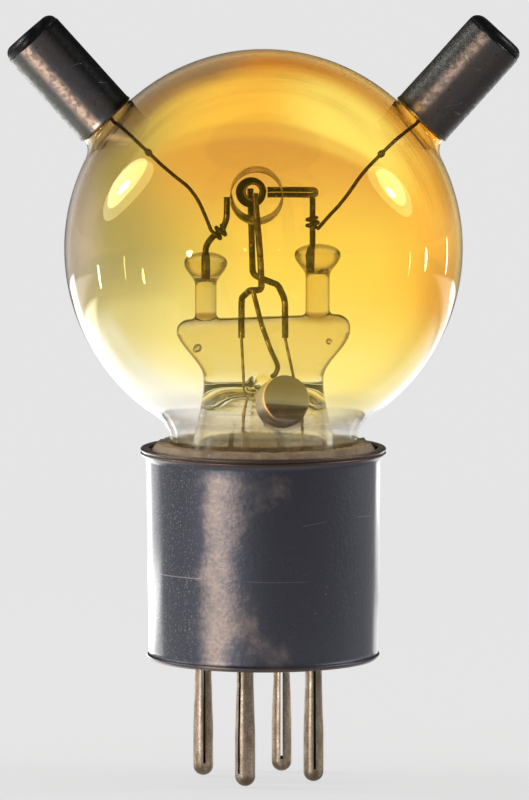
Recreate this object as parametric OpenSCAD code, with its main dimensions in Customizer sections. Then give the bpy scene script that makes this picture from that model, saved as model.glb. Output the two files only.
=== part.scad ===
// Triode tube with a round bulb, two capped horns for grid and anode, and a four-pin base.
// The electrodes lie level inside the bulb and are seen end-on from the front (-Y).
// Origin: the plane of the pin tips, on the tube's upright axis. +Z is up, +X is the grid's side.

/* [Bulb] */
// Outer diameter of the round bulb
globe_d = 63.4; // [61:0.2:65]
// Height of the bulb's centre above the rim of the base shell
globe_rise = 31.7; // [31:0.1:34]
// Thickness of the blown glass
glass_t = 0.9; // [0.7:0.1:1.1]
// Outer diameter of the neck
neck_d = 30; // [29.4:0.2:31]
// How far the neck reaches down into the base shell
neck_depth = 8.4; // [7:0.2:10]
// Radius of the sweep from neck to bulb
neck_fillet = 5; // [3:0.5:7]

/* [Horns] */
// Angle between each horn and the upright axis
horn_angle = 42; // [36:0.5:46]
// How far below the bulb's centre the two horn axes cross
horn_drop = 7.3; // [5:0.1:9]
// Outer diameter of the glass horn inside its cap
horn_d = 8.2; // [7.6:0.1:8.6]
// Outer diameter of the glass collar where the horn leaves the bulb
collar_d = 13; // [12:0.2:14]
// Length of the glass horn that stands inside its cap
horn_reach = 12.5; // [9:0.5:14]
// Length of solid glass at the horn's closed end
horn_seal = 3; // [2:0.2:4]
// Outer diameter of a cap
cap_d = 10.1; // [9.5:0.1:10.5]
// Length of a cap
cap_len = 17.4; // [15:0.2:20]
// Sheet thickness of a cap
cap_t = 0.35; // [0.3:0.05:0.5]
// Distance from the bulb's surface to the cap's mouth, along the horn
cap_gap = 0.55; // [0.45:0.05:1.5]
// Height of the black seal on a cap's end
tip_h = 1.75; // [1.4:0.05:3]
// Diameter of a horn's lead wire
lead_d = 0.6; // [0.5:0.05:0.7]

/* [Base] */
// Length of the pins below the base shell
pin_len = 19.6; // [17:0.1:21]
// Height of the base shell
shell_h = 33.8; // [30:0.1:36]
// Outer diameter of the base shell below its rim
shell_d = 37.6; // [37:0.1:38]
// Outer diameter of the base shell at its foot
shell_foot_d = 36.6; // [36:0.1:37]
// Sheet thickness of the base shell
shell_t = 0.5; // [0.4:0.05:0.7]
// How far the rolled rim at the top stands out from the shell
rim_out = 0.8; // [0.6:0.1:1.8]
// Height of the rolled rim
rim_h = 1.2; // [1.1:0.1:1.7]
// Width of the lip turned in under the base plate
lip_w = 1.3; // [1:0.1:1.8]
// Thickness of the insulating base plate
plate_t = 3; // [2.4:0.2:4]
// Height of the cement that shows above the rim
cement_rise = 0.7; // [0.3:0.1:1.2]
// Outer diameter of the cement's raised top
cement_top_d = 34; // [33:0.2:35]
// Depth of the cement below the rim
cement_depth = 12; // [10:0.5:14]

/* [Pins] */
// Diameter of a pin where a socket grips it
pin_d = 3.2; // [3:0.05:3.4]
// Diameter of a pin just below the base plate
pin_root_d = 2.7; // [2.6:0.05:2.9]
// Distance of the three regular pins from the axis
pin_ring = 8.5; // [8:0.1:9]
// Distance of the marking pin from the axis
far_pin_ring = 10.3; // [10:0.1:10.8]
// Direction of the pin pattern's long axis
pin_turn = -20; // [-40:1:0]
// Height at which the gripped length ends
grip_to = 8; // [7:0.1:10]
// Length over which a pin narrows above the gripped length
pin_taper = 8; // [6:0.5:8]
// Width of the slit through a pin
slit_w = 0.34; // [0.3:0.02:0.5]
// Height at which the slit starts
slit_from = 2.2; // [2:0.1:3]
// Height at which the slit ends
slit_to = 18.2; // [14:0.1:18.4]
// Diameter of the collar under the base plate
pin_collar_d = 4.6; // [4:0.1:5]
// Diameter of the threaded stud above the collar
stud_d = 2.5; // [2.3:0.1:2.6]
// Width across the flats of a nut
nut_w = 5; // [4.5:0.1:5.5]
// Thickness of a nut
nut_t = 2; // [1.6:0.1:2.4]
// Diameter of a washer
washer_d = 5.8; // [5.4:0.1:6.2]
// Thickness of a washer
washer_t = 0.5; // [0.4:0.1:0.8]
// Length of stud that stands above its nut
stud_over = 1.2; // [0.8:0.1:2]

/* [Glass stem] */
// Height of the stem from the end of the neck to the top of the pinch
stem_h = 29.4; // [28:0.1:31]
// Outer diameter of the stem tube at its waist
waist_d = 19.2; // [18:0.2:20]
// Wall of the stem tube
stem_t = 1; // [0.8:0.1:1.2]
// Height of the flattened pinch
pinch_h = 10; // [9:0.2:11]
// Width of the pinch across its shoulders
pinch_w = 27.8; // [26.5:0.2:28]
// Thickness of the pinch
pinch_t = 5; // [4.4:0.1:5.6]
// Outer diameter of the exhaust tube
exhaust_d = 4.3; // [3.8:0.1:4.8]
// Wall of the exhaust tube
exhaust_t = 0.6; // [0.5:0.05:0.8]
// Length of the exhaust tube down to its closed tip
exhaust_len = 30; // [26:0.5:31]
// Distance of the left glass pillar from the axis
left_pillar_x = 9.2; // [8.5:0.1:9.6]
// Distance of the right glass pillar from the axis
right_pillar_x = 8.6; // [8.2:0.1:9.4]
// Diameter of the left pillar
left_pillar_d = 3.5; // [3.2:0.1:3.8]
// Diameter of the right pillar
right_pillar_d = 3.9; // [3.4:0.1:4.2]
// Height of the left pillar's bead above the pinch
left_bead_z = 5.3; // [4.6:0.1:5.8]
// Height of the right pillar's bead above the pinch
right_bead_z = 6.6; // [6:0.1:7.2]
// Diameter of the left bead
left_bead_d = 7; // [6:0.1:7.4]
// Diameter of the right bead
right_bead_d = 7.5; // [6.6:0.1:7.8]
// Height of a bead
bead_h = 4.9; // [4.4:0.1:5.2]

/* [Electrodes] */
// Height of the anode's axis above the pinch
anode_rise = 19.2; // [18.8:0.1:20]
// How far the anode's axis lies left of the tube's axis
anode_x = 1.1; // [0.8:0.05:1.3]
// Outer diameter of the anode
anode_d = 8.4; // [8:0.1:8.8]
// Length of the anode
anode_l = 15; // [14:0.5:16]
// Sheet thickness of the anode
anode_t = 0.15; // [0.1:0.05:0.25]
// Angle of anode that is covered twice at its seam
seam_angle = 75; // [40:5:90]
// Outer diameter of the grid's coil at its rear end
grid_d = 5; // [4.6:0.1:5.4]
// Outer diameter of the grid's coil at its front end
grid_front_d = 3; // [2.8:0.1:5]
// How much the grid's axis rises towards the front, in degrees
grid_tilt = 4.4; // [0:0.2:5]
// Wire diameter of the grid
grid_wire = 0.5; // [0.35:0.05:0.6]
// Distance between the grid's turns
grid_pitch = 1.6; // [1.4:0.1:2]
// Number of turns of the grid
grid_turns = 9; // [7:1:9]
// Angle in plan between the filament and the anode's axis
core_yaw = 2.5; // [0:0.5:3]
// Diameter of the filament
filament_d = 0.1; // [0.05:0.05:0.2]
// Diameter of the two rods that hold the filament
rod_d = 1.05; // [0.9:0.05:1.1]
// Gap between each end of the anode and its rod
rod_gap = 0.7; // [0.5:0.1:1]
// Diameter of the anode's support wire
support_d = 1; // [0.9:0.05:1.1]
// Diameter of the grid's post
post_d = 0.95; // [0.85:0.05:1.05]
// Distance of the grid's post from the axis
post_x = 7.8; // [7.7:0.1:8.4]
// Wire diameter of the hairpin between grid and post
arm_d = 0.85; // [0.7:0.05:0.9]
// Diameter of the wires that bring the heating current
feed_d = 0.5; // [0.4:0.05:0.6]
// Distance of the left filament lead from the axis, in the pinch
left_feed_x = 3.5; // [3.3:0.1:4]
// Distance of the right filament lead from the axis, in the pinch
right_feed_x = 3.45; // [3.3:0.05:4]
// Depth of the filament rods in the pinch
rod_depth = 3.5; // [3:0.1:4]
// Diameter of the getter's wire
getter_wire_d = 0.8; // [0.6:0.05:0.9]
// Diameter of the getter cup at its face
getter_d = 7.4; // [6.6:0.1:7.8]
// Diameter of the getter cup at its back
getter_back_d = 8.2; // [7.4:0.1:8.6]
// Depth of the getter cup
getter_t = 4; // [3:0.2:4.4]
// Sheet thickness of the getter cup
getter_sheet = 0.25; // [0.2:0.05:0.4]

/* [Hidden] */
$fn = 96;

LEFT = -1;
RIGHT = 1;
touch = 0.02; // clearance between wires that are welded or wound on each other
slip = 0.06; // clearance of pieces that slide together before they are fixed

// Levels of the base and bulb
rim_z = pin_len + shell_h;
globe_r = globe_d / 2;
globe_z = rim_z + globe_rise;
neck_z = rim_z - neck_depth;
bore_r = shell_foot_d / 2 - shell_t;
plate_z = pin_len + shell_t;
stud_seat_z = plate_z + plate_t;
nut_z = stud_seat_z + washer_t;
stud_z = nut_z + nut_t + stud_over;
solder_h = 1.1;
cement_z = rim_z - cement_depth;

// Horn lengths, measured from where the horns' axes cross
horn_z = globe_z - horn_drop;
horn_foot = horn_drop * cos(horn_angle) + sqrt(pow(globe_r, 2) - pow(horn_drop * sin(horn_angle), 2));
cap_from = horn_foot + cap_gap;
cap_to = cap_from + cap_len;
horn_to = cap_from + horn_reach;
horn_bore_r = horn_d / 2 - glass_t;
cap_corner = 0.3;
mouth_roll = 0.3;

// Levels of the stem
waist_r = waist_d / 2;
pinch_z = neck_z + stem_h;
waist_z = pinch_z - pinch_h;
flare_top = waist_z - 1.5; // below this the stem widens to its foot
press_from = waist_z - 2.8; // above this the round stem flattens
press_h = 3.6; // height over which the round stem flattens into the pinch
pinch_edge = 2.3; // height of the rounding along the pinch's top
cavity_z = waist_z - 2.3; // top of the hollow inside the stem
flange_t = 1; // rim of the stem on which the neck is sealed
pillar_root = 1.5; // length of a pillar inside the pinch
port_r = 1.5; // hole that joins the exhaust tube to the bulb
exhaust_z = waist_z - 1.4;

// Electrode positions
axis_z = pinch_z + anode_rise;
axis_x = -anode_x;
core_x = axis_x - 0.65; // the grid and filament lie a little left of the anode's axis
core_z = axis_z + 0.3; // and a little above it
rod_y = anode_l / 2 + rod_gap + rod_d / 2;
core_lean = rod_y * tan(core_yaw);
front_tip_x = core_x + core_lean;
rear_tip_x = core_x - core_lean;
grid_r = (grid_d - grid_wire) / 2;
grid_front_r = (grid_front_d - grid_wire) / 2;
grid_l = grid_pitch * grid_turns;
grid_x = core_x - 0.1;
grid_z = core_z + 0.2;
grid_yaw = core_yaw / 2;
left_bead_base = pinch_z + left_bead_z;
right_bead_base = pinch_z + right_bead_z;
support_from = left_bead_base + 1; // lower ends of the two wires held in the beads
post_from = right_bead_base + 0.6;

// Pins as [direction, distance from the axis, direction of the slit]
pins = [[pin_turn - 90, pin_ring, -39], [pin_turn + 90, pin_ring, 0],
        [pin_turn, pin_ring, 7], [pin_turn + 180, far_pin_ring, 7]];

function pin_at(i) = [pins[i][1] * cos(pins[i][0]), pins[i][1] * sin(pins[i][0]), 0];
function unit(v) = v / norm(v);
function shell_at(z) = mix(shell_foot_d, shell_d, (z - pin_len) / shell_h) / 2;
function mix(a, b, f) = a + (b - a) * f;
function smooth(f) = let (c = max(0, min(1, f))) c * c * (3 - 2 * c);
function horn_point(side, t) = [side * t * sin(horn_angle), 0, horn_z + t * cos(horn_angle)];

// A corner b between a and c, rounded over a length r as a curve of m + 1 points
function bend(a, b, c, r, m) =
  let (s = b + unit(a - b) * min(r, norm(a - b) * 0.45), e = b + unit(c - b) * min(r, norm(c - b) * 0.45))
  [for (j = [0:m]) mix(mix(s, b, j / m), mix(b, e, j / m), j / m)];

function rounded(p, r, m = 4) =
  [p[0], for (i = [1:len(p) - 2]) each bend(p[i - 1], p[i], p[i + 1], r, m), p[len(p) - 1]];

// Points of a coil about the line from a along the unit vector d, starting on the side u.
// Its radius changes evenly from r at the start to r_end
function coil(a, d, u, r, r_end, pitch, turns, per_turn = 16) =
  let (v = cross(d, u), n = round(turns * per_turn))
  [for (i = [0:n])
    let (q = 360 * i / per_turn)
    a + d * pitch * i / per_turn + mix(r, r_end, i / n) * (cos(q) * u + sin(q) * v)];

function heading(p, i) = unit(p[min(i + 1, len(p) - 1)] - p[max(i - 1, 0)]);
function square_to(u, t) = unit(u - (u * t) * t);
function first_side(t) = square_to(abs(t.z) < 0.8 ? [0, 0, 1] : [1, 0, 0], t);

// Side vectors carried along a path without twisting
function sides_along(p) =
  [for (i = 0, u = first_side(heading(p, 0)); i < len(p);
        i = i + 1, u = i < len(p) ? square_to(u, heading(p, i)) : u) u];

// A closed skin through rings of n points each
module skin(points, n) {
  rings = len(points) / n;
  polyhedron(
    points,
    [[for (k = [0:n - 1]) k],
     for (i = [0:rings - 2], k = [0:n - 1])
       [i * n + k, (i + 1) * n + k, (i + 1) * n + (k + 1) % n, i * n + (k + 1) % n],
     [for (k = [0:n - 1]) (rings - 1) * n + n - 1 - k]]);
}

// Round wire of diameter d along the points p
module wire(p, d, n = 10) {
  side = sides_along(p);
  skin([for (i = [0:len(p) - 1], k = [0:n - 1])
         let (t = heading(p, i), q = 360 * k / n)
         p[i] + d / 2 * (cos(q) * side[i] + sin(q) * cross(t, side[i]))], n);
}

// Exact straight round bar from a to b
module bar(a, b, d) {
  v = b - a;
  translate(a)
    rotate([0, acos(v.z / norm(v)), atan2(v.y, v.x)])
      cylinder(h = norm(v), d = d);
}

// Everything inside is placed on a horn's axis, with z = 0 where the axes cross
module on_horn(side) {
  translate([0, 0, horn_z])
    rotate([0, side * horn_angle, 0])
      children();
}

// Half section of the bulb and neck, taken in by inset from the outer surface
module vessel_section(inset) {
  r = globe_r - inset;
  rn = neck_d / 2 - inset;
  f = neck_fillet + inset;
  fx = rn + f;
  fz = globe_z - sqrt(pow(r + f, 2) - pow(fx, 2));
  joint = [fx, globe_z - fz] * r / (r + f);
  intersection() {
    union() {
      translate([0, globe_z])
        circle(r, $fn = 200);
      translate([0, neck_z])
        square([rn, globe_z - neck_z]);
      difference() {
        polygon([[rn, fz], [fx, fz], [joint.x, globe_z - joint.y], [rn, globe_z - r / 2]]);
        translate([fx, fz])
          circle(f);
      }
    }
    translate([0, neck_z - 1])
      square([globe_d, globe_z + globe_d]);
  }
}

module horn_outside() {
  translate([0, 0, horn_foot - 3])
    cylinder(h = horn_to - horn_d / 2 - horn_foot + 3, d = horn_d);
  translate([0, 0, horn_to - horn_d / 2])
    sphere(d = horn_d);
  translate([0, 0, horn_foot - 2])
    cylinder(h = cap_from - horn_foot + 1.8, d1 = collar_d, d2 = cap_d - 0.6);
}

module horn_inside() {
  hollow = horn_to - horn_seal - horn_bore_r;
  translate([0, 0, horn_foot - 5])
    cylinder(h = hollow - horn_foot + 5, r = horn_bore_r);
  translate([0, 0, hollow])
    sphere(r = horn_bore_r);
  translate([0, 0, horn_foot - 2])
    cylinder(h = cap_from - horn_foot + 2, d1 = collar_d - 5 * glass_t, r2 = horn_bore_r);
  cylinder(h = cap_to, d = lead_d);
}

module glass_envelope() {
  color([0.85, 0.68, 0.25, 0.35])
    difference() {
      union() {
        rotate_extrude() vessel_section(0);
        on_horn(LEFT) horn_outside();
        on_horn(RIGHT) horn_outside();
      }
      rotate_extrude() vessel_section(glass_t);
      translate([0, 0, neck_z - 1])
        cylinder(h = 2, r = neck_d / 2 - glass_t);
      on_horn(LEFT) horn_inside();
      on_horn(RIGHT) horn_inside();
    }
}

// Half width and half thickness of the stem's outside at height z
function stem_flare(z) =
  mix(waist_r, neck_d / 2 - glass_t - slip, pow(max(0, (flare_top - z) / (flare_top - neck_z)), 1.3));
function stem_w(z) = z < waist_z ? stem_flare(z)
  : mix(waist_r, pinch_w / 2, smooth((z - waist_z) / (pinch_h - pinch_edge)));
function stem_b(z) = z < press_from ? stem_flare(z)
  : mix(waist_r, pinch_t / 2, smooth((z - press_from) / press_h));

// A ring of n points at height z: two half circles joined by straight sides
function stem_ring(z, w, b, n) =
  [for (k = [0:n - 1]) let (q = 360 * (k + 0.5) / n)
    [(cos(q) > 0 ? 1 : -1) * (w - b) + b * cos(q), b * sin(q), z]];

// Heights, half widths and half thicknesses from the top of the hollow, down and up to the pinch's top
function stem_rings(n) =
  let (
    dome = 4.2,
    foot_z = neck_z - flange_t,
    hollow = [for (q = [88:-11:0]) let (z = cavity_z - dome + dome * sin(q), k = cos(q))
      [z, (stem_w(z) - stem_t) * k, (stem_b(z) - stem_t) * k]],
    inner = [for (f = [0.2:0.2:1]) let (z = mix(cavity_z - dome, neck_z, f))
      [z, stem_flare(z) - stem_t, stem_flare(z) - stem_t]],
    foot = [[foot_z, neck_d / 2 - glass_t - stem_t, neck_d / 2 - glass_t - stem_t],
      [foot_z, neck_d / 2, neck_d / 2], [neck_z, neck_d / 2, neck_d / 2]],
    tube = [for (f = [0:0.125:1]) let (z = mix(neck_z, press_from, f)) [z, stem_w(z), stem_b(z)]],
    press = [for (f = [0.07:0.07:1]) let (z = mix(press_from, pinch_z - pinch_edge, f))
      [z, stem_w(z), stem_b(z)]],
    top = [for (q = [15:15:90])
      [pinch_z - pinch_edge * (1 - sin(q)), pinch_w / 2 - pinch_edge * (1 - cos(q)),
       pinch_t / 2 * max(0.1, pow(cos(q), 0.7))]]
  )
  [for (s = concat(hollow, inner, foot, tube, press, top)) each stem_ring(s[0], s[1], s[2], n)];

// Slanted hole from the exhaust tube out to the front of the stem's shoulder
module exhaust_port() {
  bar([0, 0, exhaust_z - 0.2], [0, -waist_r, exhaust_z + 5.5], 2 * port_r);
}

module stem_glass() {
  color([0.9, 0.86, 0.66, 0.4])
    difference() {
      skin(stem_rings(40), 40);
      translate([-left_pillar_x, 0, pinch_z - pillar_root])
        cylinder(h = 3, d = left_pillar_d);
      translate([right_pillar_x, 0, pinch_z - pillar_root])
        cylinder(h = 3, d = right_pillar_d);
      translate([-left_feed_x, 0, pinch_z - rod_depth])
        cylinder(h = rod_depth + 1, d = rod_d);
      translate([right_feed_x, 0, pinch_z - rod_depth])
        cylinder(h = rod_depth + 1, d = rod_d);
      for (p = [left_feed_way, right_feed_way])
        bar(p[0], mix(p[0], p[1], 1.1), feed_d);
      translate([0, 0, exhaust_z - 3])
        cylinder(h = 3, d = exhaust_d);
      exhaust_port();
    }
}

module exhaust_tube() {
  inner_r = exhaust_d / 2 - exhaust_t;
  tip = exhaust_d / 2;
  color([0.9, 0.88, 0.72, 0.4])
    difference() {
      union() {
        translate([0, 0, exhaust_z - exhaust_len + tip])
          cylinder(h = exhaust_len - tip, d = exhaust_d);
        translate([0, 0, exhaust_z - exhaust_len + tip])
          sphere(r = tip);
      }
      translate([0, 0, exhaust_z - exhaust_len + tip])
        sphere(r = inner_r);
      translate([0, 0, exhaust_z - exhaust_len + tip])
        cylinder(h = exhaust_len, r = inner_r);
      exhaust_port();
    }
}

// A glass pillar that swells into a bead, with a hole for the wire that it holds
module pillar(x, d, bead_base, bead_d, wire_x, wire_from, wire_d) {
  low = 3.2; // height of the bead's widest place
  swell = [for (f = [0:0.1:1]) [mix(d / 2, bead_d / 2, pow(sin(90 * f), 1.4)), bead_base + low * f]];
  crown = [for (q = [15:15:90]) [bead_d / 2 * cos(q), bead_base + low + (bead_h - low) * sin(q)]];
  difference() {
    translate([x, 0, 0])
      rotate_extrude()
        polygon(concat([[0, pinch_z - pillar_root], [d / 2, pinch_z - pillar_root]], swell, crown));
    translate([wire_x, 0, wire_from])
      cylinder(h = bead_h * 2, d = wire_d);
  }
}

module left_pillar() {
  color([0.88, 0.84, 0.62, 0.4])
    pillar(-left_pillar_x, left_pillar_d, left_bead_base, left_bead_d,
           -left_pillar_x, support_from, support_d);
}

module right_pillar() {
  color([0.9, 0.84, 0.45, 0.4])
    pillar(right_pillar_x, right_pillar_d, right_bead_base, right_bead_d,
           post_x, post_from, post_d);
}

module anode() {
  layer = anode_d / 2 - anode_t;
  translate([axis_x, anode_l / 2, axis_z])
    rotate([90, 0, 0])
      color([0.42, 0.33, 0.18]) {
        difference() {
          cylinder(h = anode_l, d = anode_d);
          translate([0, 0, -1])
            cylinder(h = anode_l + 2, r = layer);
        }
        rotate([0, 0, 190])
          rotate_extrude(angle = seam_angle)
            translate([layer - anode_t, 0])
              square([anode_t, anode_l]);
      }
}

// The anode's support leaves the bead upright, leans over to the right and climbs the anode's side
support_way = [
  [-left_pillar_x, 0, support_from],
  [-left_pillar_x, 0, left_bead_base + bead_h + 0.8],
  [-left_pillar_x + 0.9, 0, left_bead_base + bead_h + 2.2],
  [axis_x - anode_d / 2 - 1.2, 0, axis_z - 5.5],
  [axis_x - anode_d / 2 - support_d / 2 - touch, 0, axis_z - 3.6],
  [axis_x - anode_d / 2 - support_d / 2 - touch, 0, axis_z - 0.3]
];

module anode_support() {
  color([0.32, 0.25, 0.14])
    wire(rounded(support_way, 0.7), support_d, 12);
}

// The coil narrows and rises towards the front
module grid() {
  color([0.3, 0.24, 0.12])
    translate([grid_x, 0, grid_z])
      rotate([-grid_tilt, 0, grid_yaw])
        wire(coil([0, -grid_l / 2, 0], [0, 1, 0], [1, 0, 0], grid_front_r, grid_r, grid_pitch,
                  grid_turns, 20),
             grid_wire, 8);
}

// The hairpin: two legs one above the other, from the grid's rear end round to the top of its post
arm_y = anode_l / 2 + rod_gap;
arm_from = grid_x - grid_l / 2 * tan(grid_yaw) + grid_r + grid_wire / 2 + 2 * slip;
arm_gap = arm_d + 0.05;
arm_rear_z = grid_z - grid_l / 2 * sin(grid_tilt);
arm_post_z = arm_rear_z + 0.5;
post_top = arm_post_z - (arm_gap + arm_d) / 2 - touch;
arm_plan = [[arm_from, grid_l / 2], [arm_from + 0.6, grid_l / 2], [arm_from + 1.4, arm_y],
            [axis_x + anode_d / 2 + 0.6, arm_y], [post_x - 0.6, 0.9], [post_x + 0.1, 0]];

// One leg of the hairpin, raised by lift from the level of its middle
function arm_leg(lift) =
  rounded([for (p = arm_plan) [p.x, p.y, mix(arm_post_z, arm_rear_z, p.y / arm_y) + lift]], 0.5);

module grid_arm() {
  lower = arm_leg(-arm_gap / 2);
  turn = [for (q = [60:-30:-60])
    [post_x + 0.1 + arm_gap / 2 * cos(q), 0, arm_post_z + arm_gap / 2 * sin(q)]];
  color([0.3, 0.24, 0.16])
    wire(concat(arm_leg(arm_gap / 2), turn, [for (i = [len(lower) - 1:-1:0]) lower[i]]), arm_d, 10);
}

module grid_post() {
  color([0.3, 0.24, 0.14])
    translate([post_x, 0, post_from])
      cylinder(h = post_top - post_from, d = post_d);
}

module filament() {
  reach = rod_y - rod_d / 2 - touch;
  color([0.6, 0.58, 0.55])
    bar([front_tip_x, -reach, core_z + 0.4], [rear_tip_x, reach, core_z], filament_d);
}

// From the pinch up, forward to the front of the anode, and up to the filament
front_way = [
  [-left_feed_x, 0, pinch_z - rod_depth],
  [-left_feed_x, 0, pinch_z + 2.8],
  [-left_feed_x + 1, -rod_y / 2, pinch_z + 4.1],
  [front_tip_x - 0.7, -rod_y, pinch_z + 4.8],
  [front_tip_x + 1.1, -rod_y, pinch_z + 4.8],
  [front_tip_x + 0.9, -rod_y, pinch_z + anode_rise / 2],
  [front_tip_x, -rod_y, core_z + 0.6]
];

module front_rod() {
  color([0.34, 0.28, 0.16])
    wire(rounded(front_way, 0.9), rod_d, 12);
}

// The same behind the anode
rear_way = [
  [right_feed_x, 0, pinch_z - rod_depth],
  [right_feed_x, 0, pinch_z + 2.4],
  [right_feed_x - 1.1, 1, pinch_z + 4.8],
  [rear_tip_x + 1.6, rod_y - 1.5, pinch_z + 5.4],
  [rear_tip_x + 0.4, rod_y, pinch_z + 5.9],
  [rear_tip_x, rod_y, core_z + 0.2]
];

module rear_rod() {
  color([0.3, 0.24, 0.12])
    wire(rounded(rear_way, 0.9), rod_d, 12);
}

// Heating current: from a pin, past the exhaust tube and through the pinch to a rod
feed_top = pinch_z - rod_depth - 3 * touch;
feed_rise = 7; // length of each wire that stands straight up from its stud
left_feed_way = [
  [-left_feed_x, 0, feed_top],
  [-left_feed_x + 0.45, 0, waist_z - 2.4],
  [-left_feed_x + 0.3, 0, rim_z + 5],
  [-left_feed_x, -1, neck_z],
  [pin_at(0).x, pin_at(0).y, stud_z + feed_rise],
  [pin_at(0).x, pin_at(0).y, stud_z + touch]
];
right_feed_way = [
  [right_feed_x, 0, feed_top],
  [right_feed_x + 1.9, 0, waist_z - 2.4],
  [right_feed_x + 2.8, 0, rim_z + 4],
  [right_feed_x + 2.4, 1, neck_z],
  [pin_at(1).x, pin_at(1).y, stud_z + feed_rise],
  [pin_at(1).x, pin_at(1).y, stud_z + touch]
];

module left_feed() {
  color([0.5, 0.38, 0.2])
    wire(rounded(left_feed_way, 0.8), feed_d, 10);
}

module right_feed() {
  color([0.5, 0.38, 0.2])
    wire(rounded(right_feed_way, 0.8), feed_d, 10);
}

// The getter cup hangs from the foot of the front rod and faces forward, up and to the right.
// Its wire ends along the cup's top, a little to the left
getter_dir = unit([0.21, -0.917, 0.34]);
getter_at = [3.15, -12.8, waist_z - 2.2];
getter_up = unit([0, 0, 1] - getter_dir * getter_dir.z);
getter_side = unit(cos(15) * getter_up + sin(15) * cross(getter_dir, getter_up));
function getter_seat(a) = getter_at + getter_dir * a + getter_side
  * (mix(getter_back_d, getter_d, a / getter_t + 0.5) / 2 + getter_wire_d / 2 + 2 * touch);
getter_way = [
  [front_tip_x - 0.3, -rod_y - rod_d / 2 - getter_wire_d / 2 - touch, pinch_z + 4.9],
  [-0.35, -rod_y - 1.5, pinch_z - 0.3],
  [1.05, -rod_y - 2.3, pinch_z - 4.2],
  getter_seat(0.9) + [0.4, 0.2, 1.1],
  getter_seat(0.6),
  getter_seat(-1.2)
];

module getter_wire() {
  color([0.3, 0.26, 0.16])
    wire(rounded(getter_way, 0.8), getter_wire_d, 10);
}

module getter_cup() {
  color([0.45, 0.42, 0.36])
    translate(getter_at)
      rotate([0, acos(getter_dir.z), atan2(getter_dir.y, getter_dir.x)])
        difference() {
          translate([0, 0, -getter_t / 2])
            cylinder(h = getter_t, d1 = getter_back_d, d2 = getter_d);
          translate([0, 0, -getter_t / 2 - getter_sheet])
            cylinder(h = getter_t, d1 = getter_back_d - 2 * getter_sheet, d2 = getter_d - 2 * getter_sheet);
        }
}

// A horn's lead: down the horn, across the bulb with the bows given as [share of the way, height],
// and wound round the wire that it feeds
function lead_way(side, to, bows) =
  let (
    from = horn_point(side, horn_foot + 1.5),
    along = unit(to - from),
    up = [side * along.z, 0, -side * along.x]
  )
  concat(
    rounded(concat([horn_point(side, cap_to), from],
      [for (b = bows) mix(from, to, b[0]) + up * b[1]], [to]), 1.2, 3));

left_bows = [[0.08, 0.85], [0.21, 1.1], [0.37, 1.34], [0.46, 1.42], [0.59, 1.75], [0.7, 2.2], [0.81, 1.8],
             [0.91, 0.9]];
right_bows = [[0.14, 0.36], [0.24, 0.74], [0.37, 0.87], [0.49, 0.94], [0.57, 0.84], [0.69, 0.36],
              [0.79, 0.1], [0.87, 0.12]];

wind_pitch = lead_d + 0.35;
wind_gap = 0.1;
left_wind_dir = unit(support_way[3] - support_way[2]);
left_wind_at = mix(support_way[2], support_way[3], 0.3);
left_wind_side = unit(cross(left_wind_dir, [0, 1, 0]));
right_wind_at = [post_x, 0, right_bead_base + bead_h + 2.4];

// The lead changes from sealing wire to thin wire at a weld on its third bow
module horn_lead(way, turns) {
  wire(concat([for (i = [0:len(way) - 2]) way[i]], turns), lead_d, 10);
  translate(mix(way[14], way[15], 0.5))
    sphere(d = lead_d * 1.9, $fn = 24);
}

module left_horn_lead() {
  r = (support_d + lead_d) / 2 + wind_gap;
  turns = coil(left_wind_at, left_wind_dir, left_wind_side, r, r, wind_pitch, 1.9);
  color([0.28, 0.2, 0.12])
    horn_lead(lead_way(LEFT, turns[0], left_bows), turns);
}

module right_horn_lead() {
  r = (post_d + lead_d) / 2 + wind_gap;
  turns = coil(right_wind_at, [0, 0, 1], [1, 0, 0], r, r, wind_pitch, 1.9);
  color([0.28, 0.2, 0.12])
    horn_lead(lead_way(RIGHT, turns[0], right_bows), turns);
}

// Half section of a thimble of radius r and height h with one rounded corner at its closed end
module thimble_section(r, h, corner) {
  square([r - corner, h]);
  square([r, h - corner]);
  intersection() {
    translate([r - corner, h - corner])
      circle(corner);
    square([r, h]);
  }
}

module cap() {
  translate([0, 0, cap_from])
    difference() {
      rotate_extrude() {
        thimble_section(cap_d / 2, cap_len, cap_corner);
        translate([cap_d / 2 - cap_t / 2, mouth_roll])
          circle(mouth_roll);
      }
      translate([0, 0, -1])
        cylinder(h = cap_len + 1 - cap_t, r = cap_d / 2 - cap_t);
      cylinder(h = cap_len + 1, d = lead_d);
    }
}

module cap_cement() {
  translate([0, 0, cap_from + mouth_roll])
    difference() {
      cylinder(h = cap_len - cap_t - mouth_roll, r = cap_d / 2 - cap_t);
      translate([0, 0, -cap_from - mouth_roll])
        horn_outside();
      cylinder(h = cap_len, d = lead_d);
    }
}

module cap_tip() {
  translate([0, 0, cap_to])
    rotate_extrude()
      thimble_section(cap_d / 2 - cap_corner, tip_h, tip_h * 0.9);
}

module left_cap() { color([0.42, 0.38, 0.36]) on_horn(LEFT) cap(); }
module right_cap() { color([0.42, 0.38, 0.36]) on_horn(RIGHT) cap(); }
module left_cap_cement() { color([0.6, 0.56, 0.46]) on_horn(LEFT) cap_cement(); }
module right_cap_cement() { color([0.6, 0.56, 0.46]) on_horn(RIGHT) cap_cement(); }
module left_tip() { color([0.05, 0.05, 0.05]) on_horn(LEFT) cap_tip(); }
module right_tip() { color([0.05, 0.05, 0.05]) on_horn(RIGHT) cap_tip(); }

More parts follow.
